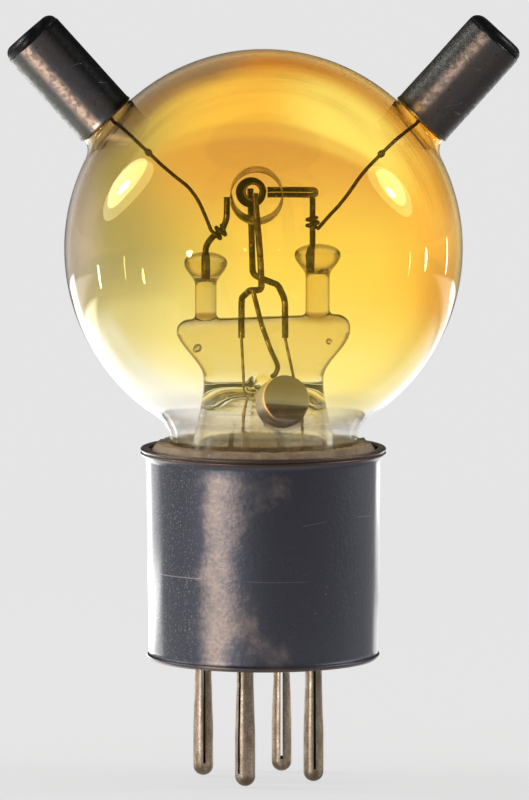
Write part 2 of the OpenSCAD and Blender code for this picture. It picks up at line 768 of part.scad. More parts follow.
// The shell tapers to its foot. Its rim is turned out and folded back, and its lip holds the plate
module base_shell() {
  fold = rim_h / 4;
  rim_r = shell_at(rim_z) + rim_out;
  color([0.26, 0.26, 0.29])
    rotate_extrude() {
      polygon([[bore_r, pin_len], [bore_r + shell_t, pin_len], [shell_at(rim_z), rim_z],
               [shell_at(rim_z) - shell_t, rim_z]]);
      translate([bore_r - lip_w, pin_len])
        square([lip_w + shell_t, shell_t]);
      translate([bore_r + shell_t, pin_len + shell_t])
        circle(shell_t * 0.7);
      translate([shell_at(rim_z) - shell_t, rim_z - rim_h])
        square([rim_out - fold + shell_t, rim_h]);
      for (z = [rim_z - fold, rim_z - rim_h + fold])
        translate([rim_r - fold, z])
          circle(fold);
    }
}

module base_plate() {
  color([0.2, 0.16, 0.13])
    difference() {
      translate([0, 0, plate_z])
        cylinder(h = plate_t, r = bore_r - slip);
      for (i = [0:3])
        translate(pin_at(i) + [0, 0, plate_z - 1])
          cylinder(h = plate_t + 2, d = stud_d);
    }
}

module base_cement() {
  neck_r = neck_d / 2;
  sunk = 1; // how far the cement has sunk at the shell
  color([0.5, 0.46, 0.38])
    rotate_extrude()
      difference() {
        polygon([[neck_r, cement_z], [shell_at(cement_z) - shell_t, cement_z],
                 [shell_at(rim_z - sunk) - shell_t, rim_z - sunk],
                 [cement_top_d / 2, rim_z + cement_rise], [neck_r, rim_z + cement_rise]]);
        vessel_section(0);
      }
}

// A split pin: rounded tip, gripped length, slimmer root, collar under the plate and threaded stud
module pin(i) {
  r = pin_d / 2;
  translate(pin_at(i))
    difference() {
      union() {
        intersection() {
          translate([0, 0, r])
            sphere(r = r);
          cylinder(h = r, r = r);
        }
        translate([0, 0, r])
          cylinder(h = grip_to - r, r = r);
        translate([0, 0, grip_to])
          cylinder(h = pin_taper, r1 = r, d2 = pin_root_d);
        translate([0, 0, grip_to + pin_taper])
          cylinder(h = plate_z - grip_to - pin_taper, d = pin_root_d);
        translate([0, 0, plate_z - shell_t])
          cylinder(h = shell_t, d = pin_collar_d);
        translate([0, 0, plate_z])
          cylinder(h = stud_z - plate_z, d = stud_d);
      }
      rotate([0, 0, pins[i][2]])
        translate([-slit_w / 2, -pin_d, slit_from])
          cube([slit_w, 2 * pin_d, slit_to - slit_from]);
    }
}

module front_pin() { color([0.66, 0.6, 0.48]) pin(0); }
module rear_pin() { color([0.66, 0.6, 0.48]) pin(1); }
module side_pin() { color([0.66, 0.6, 0.48]) pin(2); }
module far_pin() { color([0.66, 0.6, 0.48]) pin(3); }

module pin_washers() {
  color([0.6, 0.55, 0.4])
    for (i = [0:3])
      translate(pin_at(i) + [0, 0, stud_seat_z])
        difference() {
          cylinder(h = washer_t, d = washer_d);
          translate([0, 0, -1])
            cylinder(h = washer_t + 2, d = stud_d);
        }
}

module pin_nuts() {
  color([0.7, 0.6, 0.36])
    for (i = [0:3])
      translate(pin_at(i) + [0, 0, nut_z])
        difference() {
          cylinder(h = nut_t, d = nut_w / cos(30), $fn = 6);
          translate([0, 0, -1])
            cylinder(h = nut_t + 2, d = stud_d);
        }
}

// The two filament wires are soldered on top of their studs
module pin_solder() {
  color([0.7, 0.7, 0.72])
    for (i = [0, 1])
      translate(pin_at(i) + [0, 0, stud_z])
        difference() {
          intersection() {
            sphere(r = solder_h);
            cylinder(h = solder_h, r = solder_h);
          }
          translate([0, 0, -1])
            cylinder(h = solder_h + 2, d = feed_d);
        }
}

glass_envelope();
stem_glass();
exhaust_tube();
left_pillar();
right_pillar();
anode();
anode_support();
grid();
grid_arm();
grid_post();
filament();
front_rod();
rear_rod();
left_feed();
right_feed();
getter_wire();
getter_cup();
left_horn_lead();
right_horn_lead();
left_cap();
right_cap();
left_cap_cement();
right_cap_cement();
left_tip();
right_tip();
base_shell();
base_plate();
base_cement();
front_pin();
rear_pin();
side_pin();
far_pin();
pin_washers();
pin_nuts();
pin_solder();
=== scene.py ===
import math

import bmesh
import bpy
import numpy as np
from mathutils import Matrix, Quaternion, Vector


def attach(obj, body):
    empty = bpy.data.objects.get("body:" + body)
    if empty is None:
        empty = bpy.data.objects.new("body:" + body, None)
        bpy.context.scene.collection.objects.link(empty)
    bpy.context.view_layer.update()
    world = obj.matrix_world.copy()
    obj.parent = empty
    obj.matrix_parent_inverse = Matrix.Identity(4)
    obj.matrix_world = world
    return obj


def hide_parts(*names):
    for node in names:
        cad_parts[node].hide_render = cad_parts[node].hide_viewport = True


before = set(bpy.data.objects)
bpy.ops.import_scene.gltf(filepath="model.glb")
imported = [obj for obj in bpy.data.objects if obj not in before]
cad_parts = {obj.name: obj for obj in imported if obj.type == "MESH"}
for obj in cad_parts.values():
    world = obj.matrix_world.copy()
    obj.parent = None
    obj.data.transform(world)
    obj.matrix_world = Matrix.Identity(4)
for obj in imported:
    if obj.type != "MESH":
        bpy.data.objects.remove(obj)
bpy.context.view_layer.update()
print("frame loaded:", len(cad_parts), "nodes")

mm = 0.001
tube = {  # sizes repeated from the CAD source, in millimetres
    "globeRadius": 31.68,
    "globeZ": 85.1,
    "wall": 0.9,
    "neckRadius": 15.0,
    "neckZ": 45.0,
    "neckFillet": 5.0,
    "hornZ": 77.8,
    "hornAngle": math.radians(42),
    "capFrom": 37.296,
    "capLength": 17.4,
    "rimZ": 53.4,
    "footZ": 19.6,
    "plateZ": 20.1,
    "pinchZ": 74.4,
    "waistZ": 64.4,
    "coreX": -1.75,
    "coreZ": 93.9,
    "anodeX": -1.1,
    "anodeZ": 93.6,
}


# Camera

cameraSetup = {
    "place": (0.00016, -1.08973, 0.16958),
    "target": (0.00016, 0.0, 0.0609),
    "lens": 309.24,
}

cameraData = bpy.data.cameras.new("camera")
cameraData.lens = cameraSetup["lens"]
cameraData.clip_start = 0.05
camera = bpy.data.objects.new("camera", cameraData)
camera.location = cameraSetup["place"]
aim = Vector(cameraSetup["target"]) - Vector(cameraSetup["place"])
camera.rotation_euler = aim.to_track_quat("-Z", "Y").to_euler()
bpy.context.scene.collection.objects.link(camera)
bpy.context.scene.camera = camera


# Surfaces


def unit(v):  # v over its length
    return v / np.linalg.norm(v, axis=-1, keepdims=True)


def ease(f):  # 3f squared minus 2f cubed, held between 0 and 1
    f = np.clip(f, 0, 1)
    return f * f * (3 - 2 * f)


def lumps(points, size, seed, count=24):
    # sum of sine waves in random directions, about -1 to 1, with bumps of that size
    draw = np.random.RandomState(seed)
    ways = unit(draw.normal(size=(count, 3))) * draw.uniform(0.6, 1.6, (count, 1)) / size * 2.2
    shift = draw.uniform(0, 2 * np.pi, count)
    return np.sin(np.asarray(points) @ ways.T + shift).sum(-1) / math.sqrt(count)


def joined(*parts):  # rows of one part after those of the other
    return np.concatenate(parts)


def gridQuads(rows, columns, closed):
    # the cell after point (i, j) has the corners (i, j), (i + 1, j), (i + 1, j + 1) and (i, j + 1)
    i = np.arange(rows if closed else rows - 1)[:, None]
    j = np.arange(columns)[None, :]
    below, beside = (i + 1) % rows, (j + 1) % columns
    corners = [i * columns + j, below * columns + j, below * columns + beside, i * columns + beside]
    return np.stack(corners, -1).reshape(-1, 4)


def meshObject(name, *grids, closed=False):
    # each grid has rows of points that run round in a ring; closed also joins its last row to its first
    points, faces, start = [], [], 0
    for grid in grids:
        rows, columns = grid.shape[:2]
        points.append(grid.reshape(-1, 3))
        faces.append(gridQuads(rows, columns, closed) + start)
        start += rows * columns
    points, faces = joined(*points), joined(*faces)
    # equal points become one vertex
    _, first, same = np.unique(np.round(points, 5), axis=0, return_index=True, return_inverse=True)
    faces = same.reshape(-1)[faces]
    mesh = bpy.data.meshes.new(name)
    whole = (faces != np.roll(faces, 1, axis=1)).all(1)
    quads = faces[whole]
    short = faces[~whole]  # a quad with one pair of equal corners is a triangle at a pole
    at = (short != np.roll(short, 1, axis=1)).argmin(1)
    turned = short[np.arange(len(short))[:, None], (at[:, None] + np.arange(3)) % 4]
    solid = (turned != np.roll(turned, 1, axis=1)).all(1)
    mesh.from_pydata(points[first], [], quads.tolist() + turned[solid].tolist())
    mesh.update()
    shape = bpy.data.objects.new(name, mesh)
    bpy.context.scene.collection.objects.link(shape)
    return shape


def applied(shape, kind, **settings):  # the mesh becomes what the modifier makes of it
    modifier = shape.modifiers.new(kind.lower(), kind)
    for key, value in settings.items():
        setattr(modifier, key, value)
    made = bpy.data.meshes.new_from_object(shape.evaluated_get(bpy.context.evaluated_depsgraph_get()))
    old, shape.data = shape.data, made
    shape.modifiers.clear()
    bpy.data.meshes.remove(old)


def turnOutward(mesh):
    work = bmesh.new()
    work.from_mesh(mesh)
    bmesh.ops.recalc_face_normals(work, faces=work.faces)
    work.to_mesh(mesh)
    work.free()


def finishPiece(shape, material, nodes, sharpAngle=38, outward=True):
    # millimetres to metres, shading and material, then the piece's body, and the nodes it stands for are hidden
    mesh = shape.data
    if outward:
        turnOutward(mesh)
    places = np.empty(len(mesh.vertices) * 3, np.float32)
    mesh.vertices.foreach_get("co", places)
    mesh.vertices.foreach_set("co", places * mm)
    mesh.shade_smooth()
    mesh.set_sharp_from_angle(angle=math.radians(sharpAngle))
    mesh.materials.clear()
    mesh.materials.append(material)
    mesh.update()
    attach(shape, "root")
    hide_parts(*nodes)
    return shape


def newPiece(name, grids, material, nodes, sharpAngle=38, closed=False):
    return finishPiece(meshObject(name, *grids, closed=closed), material, nodes, sharpAngle)


def frameOf(axis, side=None):
    # three directions square to each other: side without its part along the axis, axis cross side, axis
    axis = unit(np.asarray(axis, float))
    side = np.array(side if side is not None else ((0, 0, 1) if abs(axis[2]) < 0.8 else (1, 0, 0)), float)
    side = unit(side - axis * (side @ axis))
    return side, np.cross(axis, side), axis


def lathe(profile, steps=96, origin=(0, 0, 0), axis=(0, 0, 1), side=None):
    # each point (r, h) of the profile goes round the axis: origin + r cos q side + r sin q up + h axis
    profile = np.asarray(profile, float)
    side, up, axis = frameOf(axis, side)
    q = np.linspace(0, 2 * np.pi, steps, endpoint=False)
    ring = np.cos(q)[:, None] * side + np.sin(q)[:, None] * up
    return np.asarray(origin, float) + profile[:, :1, None] * ring + profile[:, 1:, None] * axis


def arc(x, y, radius, start, end, steps=8):  # (x + radius cos q, y + radius sin q), q in degrees
    q = np.radians(np.linspace(start, end, steps + 1))
    return np.stack([x + radius * np.cos(q), y + radius * np.sin(q)], -1)


def line(*points):
    return np.array(points, float)


def rounded(points, radius, steps=8):
    # each corner becomes a quadratic curve from radius before it to radius after it
    p = np.asarray(points, float)
    before, corner, after = p[:-2], p[1:-1], p[2:]
    back = np.linalg.norm(before - corner, axis=1, keepdims=True)
    on = np.linalg.norm(after - corner, axis=1, keepdims=True)
    s = corner + (before - corner) * np.minimum(radius / back, 0.45)
    e = corner + (after - corner) * np.minimum(radius / on, 0.45)
    f = np.linspace(0, 1, steps + 1)[:, None, None]
    curve = (1 - f) ** 2 * s + 2 * f * (1 - f) * corner + f**2 * e
    return np.concatenate([p[:1], curve.transpose(1, 0, 2).reshape(-1, 3), p[-1:]])


def evenly(path, step):
    # the same path with points at equal distances along it
    path = np.asarray(path, float)
    along = np.concatenate([[0], np.cumsum(np.linalg.norm(np.diff(path, axis=0), axis=1))])
    at = np.linspace(0, along[-1], max(4, int(along[-1] / step) + 1))
    return np.stack([np.interp(at, along, path[:, k]) for k in range(3)], -1)


def sweep(path, diameter, reference=(0, 1, 0), sides=14, rough=0.0, seed=1):
    # a circle carried along the path: centre + r cos q side + r sin q up, side square to path and reference
    tangent = unit(np.gradient(path, axis=0))
    side = unit(np.cross(tangent, reference))
    up = np.cross(tangent, side)
    q = np.linspace(0, 2 * np.pi, sides, endpoint=False)
    ring = np.cos(q)[:, None] * side[:, None] + np.sin(q)[:, None] * up[:, None]
    r = np.full((len(path), sides, 1), diameter / 2)
    if rough:
        r = r * (1 - rough + rough * lumps(path[:, None] + ring * diameter, diameter, seed)[..., None])
    body = path[:, None] + ring * r
    ends = [np.repeat(path[k][None, None], sides, 1) for k in (0, -1)]
    return joined(ends[0], body, ends[1])


def cutAway(shape, *grids):  # takes closed forms out of the piece
    cutter = meshObject("cutter", *grids)
    turnOutward(cutter.data)
    applied(shape, "BOOLEAN", operation="DIFFERENCE", object=cutter, solver="EXACT")
    bpy.data.objects.remove(cutter)


def hornAxis(axisSide):  # -1 is the left horn, 1 the right one
    return np.array([axisSide * math.sin(tube["hornAngle"]), 0, math.cos(tube["hornAngle"])])


def along(axisSide, distance):  # a point on a horn's axis, measured from where the two axes cross
    return np.array([0, 0, tube["hornZ"]]) + hornAxis(axisSide) * distance


# Shader helpers


def operator(operation, turned=False):
    return lambda a, b=0.0: sums(operation, *((b, a) if turned else (a, b)))


class Value:
    # a node's output that can be reckoned with: x * y, x + 0.1, abs(x) or x < 0.2 each add a Math node
    def __init__(self, socket):
        self.socket = socket

    def beside(self, name):  # another output of the same node
        return Value(self.socket.node.outputs[name])

    __add__, __sub__, __rsub__ = operator("ADD"), operator("SUBTRACT"), operator("SUBTRACT", True)
    __mul__, __truediv__, __pow__ = operator("MULTIPLY"), operator("DIVIDE"), operator("POWER")
    __lt__, __gt__, __abs__ = operator("LESS_THAN"), operator("GREATER_THAN"), operator("ABSOLUTE")


def put(socket, value):
    if isinstance(value, Value):
        socket.id_data.links.new(value.socket, socket)
    else:
        socket.default_value = value


def feed(node, **values):  # sets or links a node's inputs, with underscores for the spaces in their names
    for key, value in values.items():
        put(node.inputs[key.replace("_", " ")], value)


def add(kind, inputs, out=0, tree=None, **settings):
    # makes a node in the given tree, or in the tree that its inputs come from, and returns one of its outputs
    tree = tree or next(v.socket.id_data for v in inputs.values() if isinstance(v, Value))
    node = tree.nodes.new("ShaderNode" + kind)
    for key, value in settings.items():
        setattr(node, key, value)
    for key, value in inputs.items():
        put(node.inputs[key], value)
    return Value(node.outputs[out])


def sums(operation, a, b=0.0):
    return add("Math", {0: a, 1: b}, operation=operation)


def larger(a, b):
    return sums("MAXIMUM", a, b)


def blend(factor, a, b, mode="MIX"):
    return add("Mix", {0: factor, 6: a, 7: b}, 2, data_type="RGBA", blend_type=mode)


def span(value, low, high, to=(0.0, 1.0)):
    # value from low to high becomes a smooth step between the two ends of to
    inputs = {"Value": value, "From Min": low, "From Max": high, "To Min": to[0], "To Max": to[1]}
    return add("MapRange", inputs, interpolation_type="SMOOTHSTEP")


def noise(at, scale, detail=2.0, **more):
    return add("TexNoise", {"Vector": at, "Scale": scale, "Detail": detail, **more}, "Fac")


def xyz(vector):
    x = add("SeparateXYZ", {"Vector": vector})
    return x, x.beside("Y"), x.beside("Z")


def dot(at, way):  # how far a place lies along a direction
    return add("VectorMath", {0: at, 1: way}, "Value", operation="DOT_PRODUCT")


def stretched(at, scale=(1, 1, 1), turn=(0, 0, 0)):
    return add("Mapping", {"Vector": at, "Rotation": turn, "Scale": scale})


def grey(v):
    return (v, v, v, 1)


def painted(colour, finish, layers):
    # each layer is the name of a colour and its mask; colours named in finish["stains"] multiply
    for name, mask in layers:
        colour = blend(mask, colour, finish[name], "MULTIPLY" if name in finish.get("stains", ()) else "MIX")
    return colour


def newGroup(name, **values):
    # a node group from a Vector and these numbers to a Mask; returns it, its inputs and its output node
    group = bpy.data.node_groups.new(name, "ShaderNodeTree")
    group.interface.new_socket("Vector", in_out="INPUT", socket_type="NodeSocketVector")
    for label, value in values.items():
        group.interface.new_socket(label, in_out="INPUT", socket_type="NodeSocketFloat").default_value = value
    group.interface.new_socket("Mask", in_out="OUTPUT", socket_type="NodeSocketFloat")
    given = group.nodes.new("NodeGroupInput").outputs
    return group, [Value(given[label]) for label in ("Vector", *values)], group.nodes.new("NodeGroupOutput")


def masked(group, at, **values):  # the mask that a node group makes at these coordinates
    node = at.socket.id_data.nodes.new("ShaderNodeGroup")
    node.node_tree = group
    feed(node, Vector=at, **values)
    return Value(node.outputs["Mask"])


# Patches: noise between two levels, for stains, bloom, wear and the grain of painted highlights
patches, (vector, scale, detail, low, high), gives = newGroup(
    "patches", Scale=100.0, Detail=4.0, Low=0.45, High=0.6)
feed(gives, Mask=span(noise(vector, scale, detail), low, high))

# Specks: round dots in some cells of a cell pattern, for dust, pits and crumbs
specks, (vector, scale, dotSize, share), gives = newGroup("specks", Scale=500.0, Size=0.2, Share=0.3)
cells = add("TexVoronoi", {"Vector": vector, "Scale": scale}, "Distance")
feed(gives, Mask=(cells < dotSize) * (add("SeparateColor", {"Color": cells.beside("Color")}) < share))

# Scratches: thin lines of a stretched noise near its middle value, in patches
scratches, (vector, scale, width, share), gives = newGroup("scratches", Scale=100.0, Width=0.01, Share=0.6)
feed(gives, Mask=(abs(noise(vector, scale) - 0.5) < width) * (noise(vector, scale * 3.1) > share))


def newMaterial(name, **values):
    # returns the material, its shader and its Object coordinates
    material = bpy.data.materials.new(name)
    material.use_nodes = True
    shader = material.node_tree.nodes["Principled BSDF"]
    feed(shader, **values)
    return material, shader, add("TexCoord", {}, "Object", material.node_tree)


def facingOf(shader):  # 0 where the surface faces the eye, 1 at its outline
    return add("LayerWeight", {"Blend": 0.5}, "Facing", shader.id_data)


def bump(shader, height, strength, distance=0.0002):
    feed(shader, Normal=add("Bump", {"Height": height, "Strength": strength, "Distance": distance}))


def mixed(factor, a, b):
    return add("MixShader", {0: factor, 1: a, 2: b})


def seeThroughShadow(shader, tint):
    # light passes the glass on its way to what is inside
    tree = shader.id_data
    clear = add("BsdfTransparent", {"Color": tint}, tree=tree)
    isShadow = add("LightPath", {}, "Is Shadow Ray", tree)
    feed(tree.nodes["Material Output"], Surface=mixed(isShadow, Value(shader.outputs[0]), clear))


# Bulb glass: amber film that is olive at the left, paler below and clear at the neck; the darker orange disc above is
# a painted reflection of something dark, with a pale painted highlight (lip) along its right edge

film = {
    "gold": (1.0, 0.79, 0.255, 1),
    "olive": (0.50, 0.475, 0.285, 1),
    "orangeReflection": (0.85, 0.57, 0.205, 1),
    "amber": (0.98, 0.70, 0.215, 1),
    "copper": (1.0, 0.68, 0.20, 1),
    "pale": (1.0, 0.91, 0.50, 1),
    "clear": (0.985, 0.98, 0.93, 1),
    "rim": (0.78, 0.70, 0.62, 1),
    "crown": (0.90, 0.72, 0.62, 1),
    "grime": (0.49, 0.40, 0.28, 1),
    "lip": (1.0, 0.87, 0.36, 1),
    "mist": (0.71, 0.63, 0.51, 1),
    "shade": (0.87, 0.87, 0.92, 1),
    "rust": (0.90, 0.85, 0.75, 1),
    "stains": ("rim", "crown", "shade", "rust"),
    "clearFrom": 0.069,
    "clearTo": 0.0595,
    "neckAlpha": 0.25,  # the neck hardly shows
    "shadow": (0.95, 0.88, 0.6, 1),
}

bulbGlass, shader, at = newMaterial("bulbGlass", Roughness=0.0, IOR=1.6, Metallic=0.0, Transmission_Weight=1.0,
                                    Specular_Tint=(1.0, 0.87, 0.17, 1))
x, y, z = xyz(at)
drift = noise(at, 38.0)
across, rise, level = x + drift * 0.012, z + drift * 0.006, z - tube["globeZ"] * mm
slope = rise + x * 0.25
low = span(level, 0.004, -0.004)
oval = (x / 0.0285) ** 2.0 + ((level + larger(x, 0.0) * 0.13) / 0.0188) ** 2.0  # 1 on a flat ellipse round the orange
away = sums("SQRT", x**2.0 + level**2.0)
turned = add("CombineXYZ", {"X": away * 900.0, "Y": sums("ARCTAN2", level, x)})
bands = noise(turned, 1.3, 4.0)  # streaks that run round the rim
tint = painted(blend(span(across, -0.030, 0.010), film["olive"], film["gold"]), film, [
    ("amber", span(rise, 0.094, 0.106) * span(x, 0.013, 0.001) * span(across, -0.019, 0.006)),
    # painted reflection: the darker orange disc in the upper half stands for something dark reflected in the globe
    ("orangeReflection", span(rise, 0.087, 0.105) * span(across, -0.028, 0.002) * span(oval, 1.12, 0.98)),
    # painted highlight: a pale yellow line just outside the right edge of the darker disc
    ("lip", span(oval, 1.03, 1.15, (0.0, 0.8)) * span(oval, 2.8, 2.2) * span(x, -0.001, 0.011)
     * span(level, 0.006, 0.012)),
    ("copper", span(x, 0.017, 0.028) * span(level, -0.02, -0.008, (0.0, 0.85))),
    ("pale", span(slope, 0.088, 0.069, (0.0, 0.75))),
    ("shade", low * span(x, -0.012, -0.023)),
    ("rust", low * span(x, 0.024, 0.028)),
    ("clear", span(slope, film["clearFrom"], film["clearTo"])),
    ("rim", span(bands, 0.45, 0.7) * span(away, 0.022, 0.029) * span(level, -0.004, 0.012)),
    ("crown", span(away, 0.0272, 0.0305) * span(level, 0.012, 0.024)),
    ("grime", span(away, 0.0265, 0.0300) * span(level, 0.010, 0.020) * span(x, 0.001, -0.009)
     * span(bands, 0.4, 0.6, (0.5, 1.0))),
    ("mist", span(x, -0.0245, -0.029) * span(level, -0.013, -0.001)),
    ("rim", span(facingOf(shader), 0.5, 0.85, (0.0, 0.8)) * span(rise, 0.060, 0.072)),
    # the lowest part of the rim is clear, more so at the left
    ("clear", span(away - x * 0.055, 0.0286, 0.0298) * span(level, -0.010, -0.015)),
])
feed(shader, Base_Color=tint, Alpha=span(z, 0.0560, 0.0615, (film["neckAlpha"], 1.0)))
bump(shader, noise(at, 60.0, 1.0), 0.12)
seeThroughShadow(shader, film["shadow"])

# Stem glass: thick clear glass with a slight yellow cast, painted shade at its edges for the dark surroundings seen
# through them, smeared and dusty at its foot

stemFinish = {
    "cast": (0.955, 0.93, 0.84, 1),
    "light": (0.985, 0.97, 0.91, 1),
    "thick": (0.80, 0.74, 0.64, 1),
    "crown": (0.38, 0.26, 0.16, 1),
    "outline": (0.18, 0.14, 0.05, 1),
    "foot": (0.97, 0.91, 0.73, 1),
    "smear": (0.93, 0.85, 0.65, 1),
    "dust": (0.3, 0.2, 0.1, 1),
    "stains": ("outline",),
    "shadow": (0.96, 0.94, 0.86, 1),
}

stemGlass, shader, at = newMaterial("stemGlass", Roughness=0.0, IOR=1.5, Metallic=0.0, Transmission_Weight=1.0)
x, y, z = xyz(at)
cast = noise(at, 90.0)
edge = z + cast * 0.004
crownZ = tube["pinchZ"] * mm
colour = painted(blend(cast, stemFinish["cast"], stemFinish["light"]), stemFinish, [
    ("thick", span(z, 0.0630, 0.0660)),
    ("crown", span(edge, crownZ + 0.0002, crownZ + 0.0015, (0.0, 0.95)) * span(z, 0.0751, 0.0746)),
    # painted shade: the glass darkens where it turns away, for the dark room refracted at its edges
    ("outline", span(facingOf(shader), 0.30, 0.72, (0.0, 0.95)) * span(z, 0.0600, 0.0640, (0.2, 1.0))),
    ("foot", span(edge, 0.0630, 0.0590)),
    ("smear", span(edge, 0.0590, 0.0570)),
    ("dust", masked(specks, at, Scale=800.0, Size=0.13, Share=0.3) * span(z, 0.0630, 0.0600, (0.0, 0.45))),
])
feed(shader, Base_Color=colour, Roughness=span(z, 0.0605, 0.0640, (0.05, 0.0)))
bump(shader, noise(at, 220.0), 0.15)
seeThroughShadow(shader, stemFinish["shadow"])


# Metals


def wireMaterial(name, dark, light, roughness, metallic=0.85, scale=900.0, rim=(0.12, 0.09, 0.05, 1)):
    # dull wire: two tones in small patches, with a fine grain in the surface
    material, shader, at = newMaterial(name, Metallic=metallic, Specular_Tint=rim)
    spots = masked(patches, at, Scale=scale, Low=0.4, High=0.62)
    feed(shader, Base_Color=blend(spots, dark, light),
         Roughness=span(spots, 0.0, 1.0, (roughness + 0.12, roughness - 0.08)))
    bump(shader, noise(at, scale * 3, 3.0), 0.25, 0.0001)
    return material


wireFinish = {
    # material: slot, darker tone, lighter tone, roughness, then metallic, scale and rim where they differ
    "rodWire": ("rod_wire", (0.06, 0.04, 0.022, 1), (0.19, 0.135, 0.08, 1), 0.26),
    "leadWire": ("lead_wire", (0.05, 0.03, 0.02, 1), (0.12, 0.07, 0.045, 1), 0.35),
    "gridWire": ("grid_wire", (0.12, 0.10, 0.06, 1), (0.36, 0.31, 0.2, 1), 0.14),
    "feedWire": ("feed_wire", (0.16, 0.1, 0.06, 1), (0.36, 0.23, 0.13, 1), 0.4),
    "supportWire": ("oxidised_wire", (0.045, 0.03, 0.018, 1), (0.13, 0.09, 0.05, 1), 0.34),
    "anodeSheet": ("anode_sheet", (0.26, 0.21, 0.12, 1), (0.42, 0.35, 0.22, 1), 0.35, 0.9, 400.0, (1, 1, 1, 1)),
    "tungstenWire": ("tungsten", (0.3, 0.29, 0.27, 1), (0.5, 0.48, 0.45, 1), 0.3),
    "hardwareMetal": ("hardware", (0.45, 0.34, 0.16, 1), (0.62, 0.5, 0.28, 1), 0.4, 1.0, 500.0),
    "solderMetal": ("solder", (0.4, 0.4, 0.42, 1), (0.62, 0.62, 0.64, 1), 0.4, 1.0, 700.0),
}
wires = {name: wireMaterial(name, *values) for name, (slot, *values) in wireFinish.items()}


def wirePiece(name, grids, material, node, sharpAngle=38):
    newPiece(name, grids, wires[material], [node], sharpAngle)


# Base shell: dark lacquer with a pinkish bloom that is partly worn lacquer and partly a painted highlight, dust,
# scratches and worn brown edges

shellFinish = {
    "dark": (0.066, 0.068, 0.084, 1),  # lacquer at the left
    "lacquer": (0.10, 0.10, 0.125, 1),
    "bloomAndHighlight": (0.36, 0.285, 0.25, 1),
    "brown": (0.12, 0.075, 0.055, 1),
    "dust": (0.5, 0.47, 0.43, 1),
    "highlightAt": -0.0072,  # the middle of the painted highlight in the bloom, as X
    # straight scratches: from X, to X, Z in the middle, rise over run, strength
    "scratches": [(-0.0168, -0.0092, 0.0341, 0.02, 0.5), (-0.0032, 0.0078, 0.0339, -0.016, 0.2),
                  (0.0058, 0.0103, 0.04295, 0.155, 0.22), (0.0146, 0.0172, 0.04335, -0.1, 0.25)],
}

baseMetal, shader, at = newMaterial("baseMetal", Metallic=0.92, Coat_Roughness=0.16, Coat_IOR=2.0)
x, y, z = xyz(at)
fine = masked(patches, at, Scale=1500.0, Detail=8.0, Low=0.3, High=0.7)
# the bloom lies mostly on the front left of the shell, in a band with a waist; a bell round highlightAt paints a
# highlight into it
wornAndHighlight = span(x, -0.0130, -0.0080) * span(x - ((z - 0.036) * 6.7) ** 2.0, 0.0014, -0.0062) * span(y, 0.002, -0.006)
wornAndHighlight = wornAndHighlight * span(z, 0.0522, 0.0492, (0.5, 1.0)) * span(abs(x - shellFinish["highlightAt"]), 0.0, 0.0042, (1.0, 0.48))
bloomAndHighlight = span(noise(at, 150.0, 9.0, Roughness=0.7) + wornAndHighlight * 0.42, 0.62, 0.98) * span(fine, 0.0, 1.0, (0.7, 1.0))
layers = [("bloomAndHighlight", bloomAndHighlight), ("brown", larger(span(z, 0.0520, 0.0523), span(z, 0.0203, 0.0199)) * 0.8)]
for fromX, toX, height, slant, strength in shellFinish["scratches"]:
    offX = x - (fromX + toX) / 2
    onLine = span(abs(z - height - offX * slant), 0.00011, 0.00003, (0.0, strength))
    layers.append(("dust", onLine * span(abs(offX), (toX - fromX) / 2, (toX - fromX) / 3) * (y < 0.0)))
layers.append(("dust", masked(specks, at, Scale=620.0, Size=0.07, Share=0.25) * 0.5))
grain = masked(patches, at, Scale=3200.0, Detail=3.0, Low=0.54, High=0.72)
layers.append(("dust", grain * span(x, -0.0085, -0.0125, (0.06, 0.32))))
colour = blend(span(x, -0.0125, -0.0040), shellFinish["dark"], shellFinish["lacquer"])
feed(shader, Base_Color=painted(colour, shellFinish, layers), Roughness=span(bloomAndHighlight, 0.0, 1.0, (0.45, 0.5)),
     Coat_Weight=span(facingOf(shader) - (x + 0.018) * 5.7, 0.46, 0.58))
bump(shader, fine, 0.16, 0.0001)

# Split pins: smooth worn plating, painted shade that makes the slit black and matte, and browner at the tip

pin = {"radius": 1.6, "root": 1.35, "gripTo": 8.0, "taper": 8.0, "collar": 2.3, "stud": 1.25, "studTo": 26.8,
       "slit": 0.34, "slitFrom": 2.2, "slitTo": 18.2}
pinRings = {  # pin: direction from the axis in degrees, distance from the axis, direction of the slit
    "front": (-110, 8.5, -39),
    "rear": (70, 8.5, 0),
    "side": (-20, 8.5, 7),
    "far": (160, 10.3, 7),
}
pinPlaces = {name: (ring * math.cos(math.radians(a)), ring * math.sin(math.radians(a)))
             for name, (a, ring, slit) in pinRings.items()}
pinFinish = {
    "dark": (0.27, 0.2, 0.14, 1),
    "light": (0.47, 0.375, 0.28, 1),
    "grit": (0.16, 0.115, 0.075, 1),
    "tip": (0.11, 0.075, 0.045, 1),
    "slit": (0.006, 0.005, 0.004, 1),
}

pinMetal, shader, at = newMaterial("pinMetal")
x, y, z = xyz(at)
tone = masked(patches, stretched(at, (1, 1, 0.4)), Scale=900.0, Detail=6.0, Low=0.3, High=0.7)
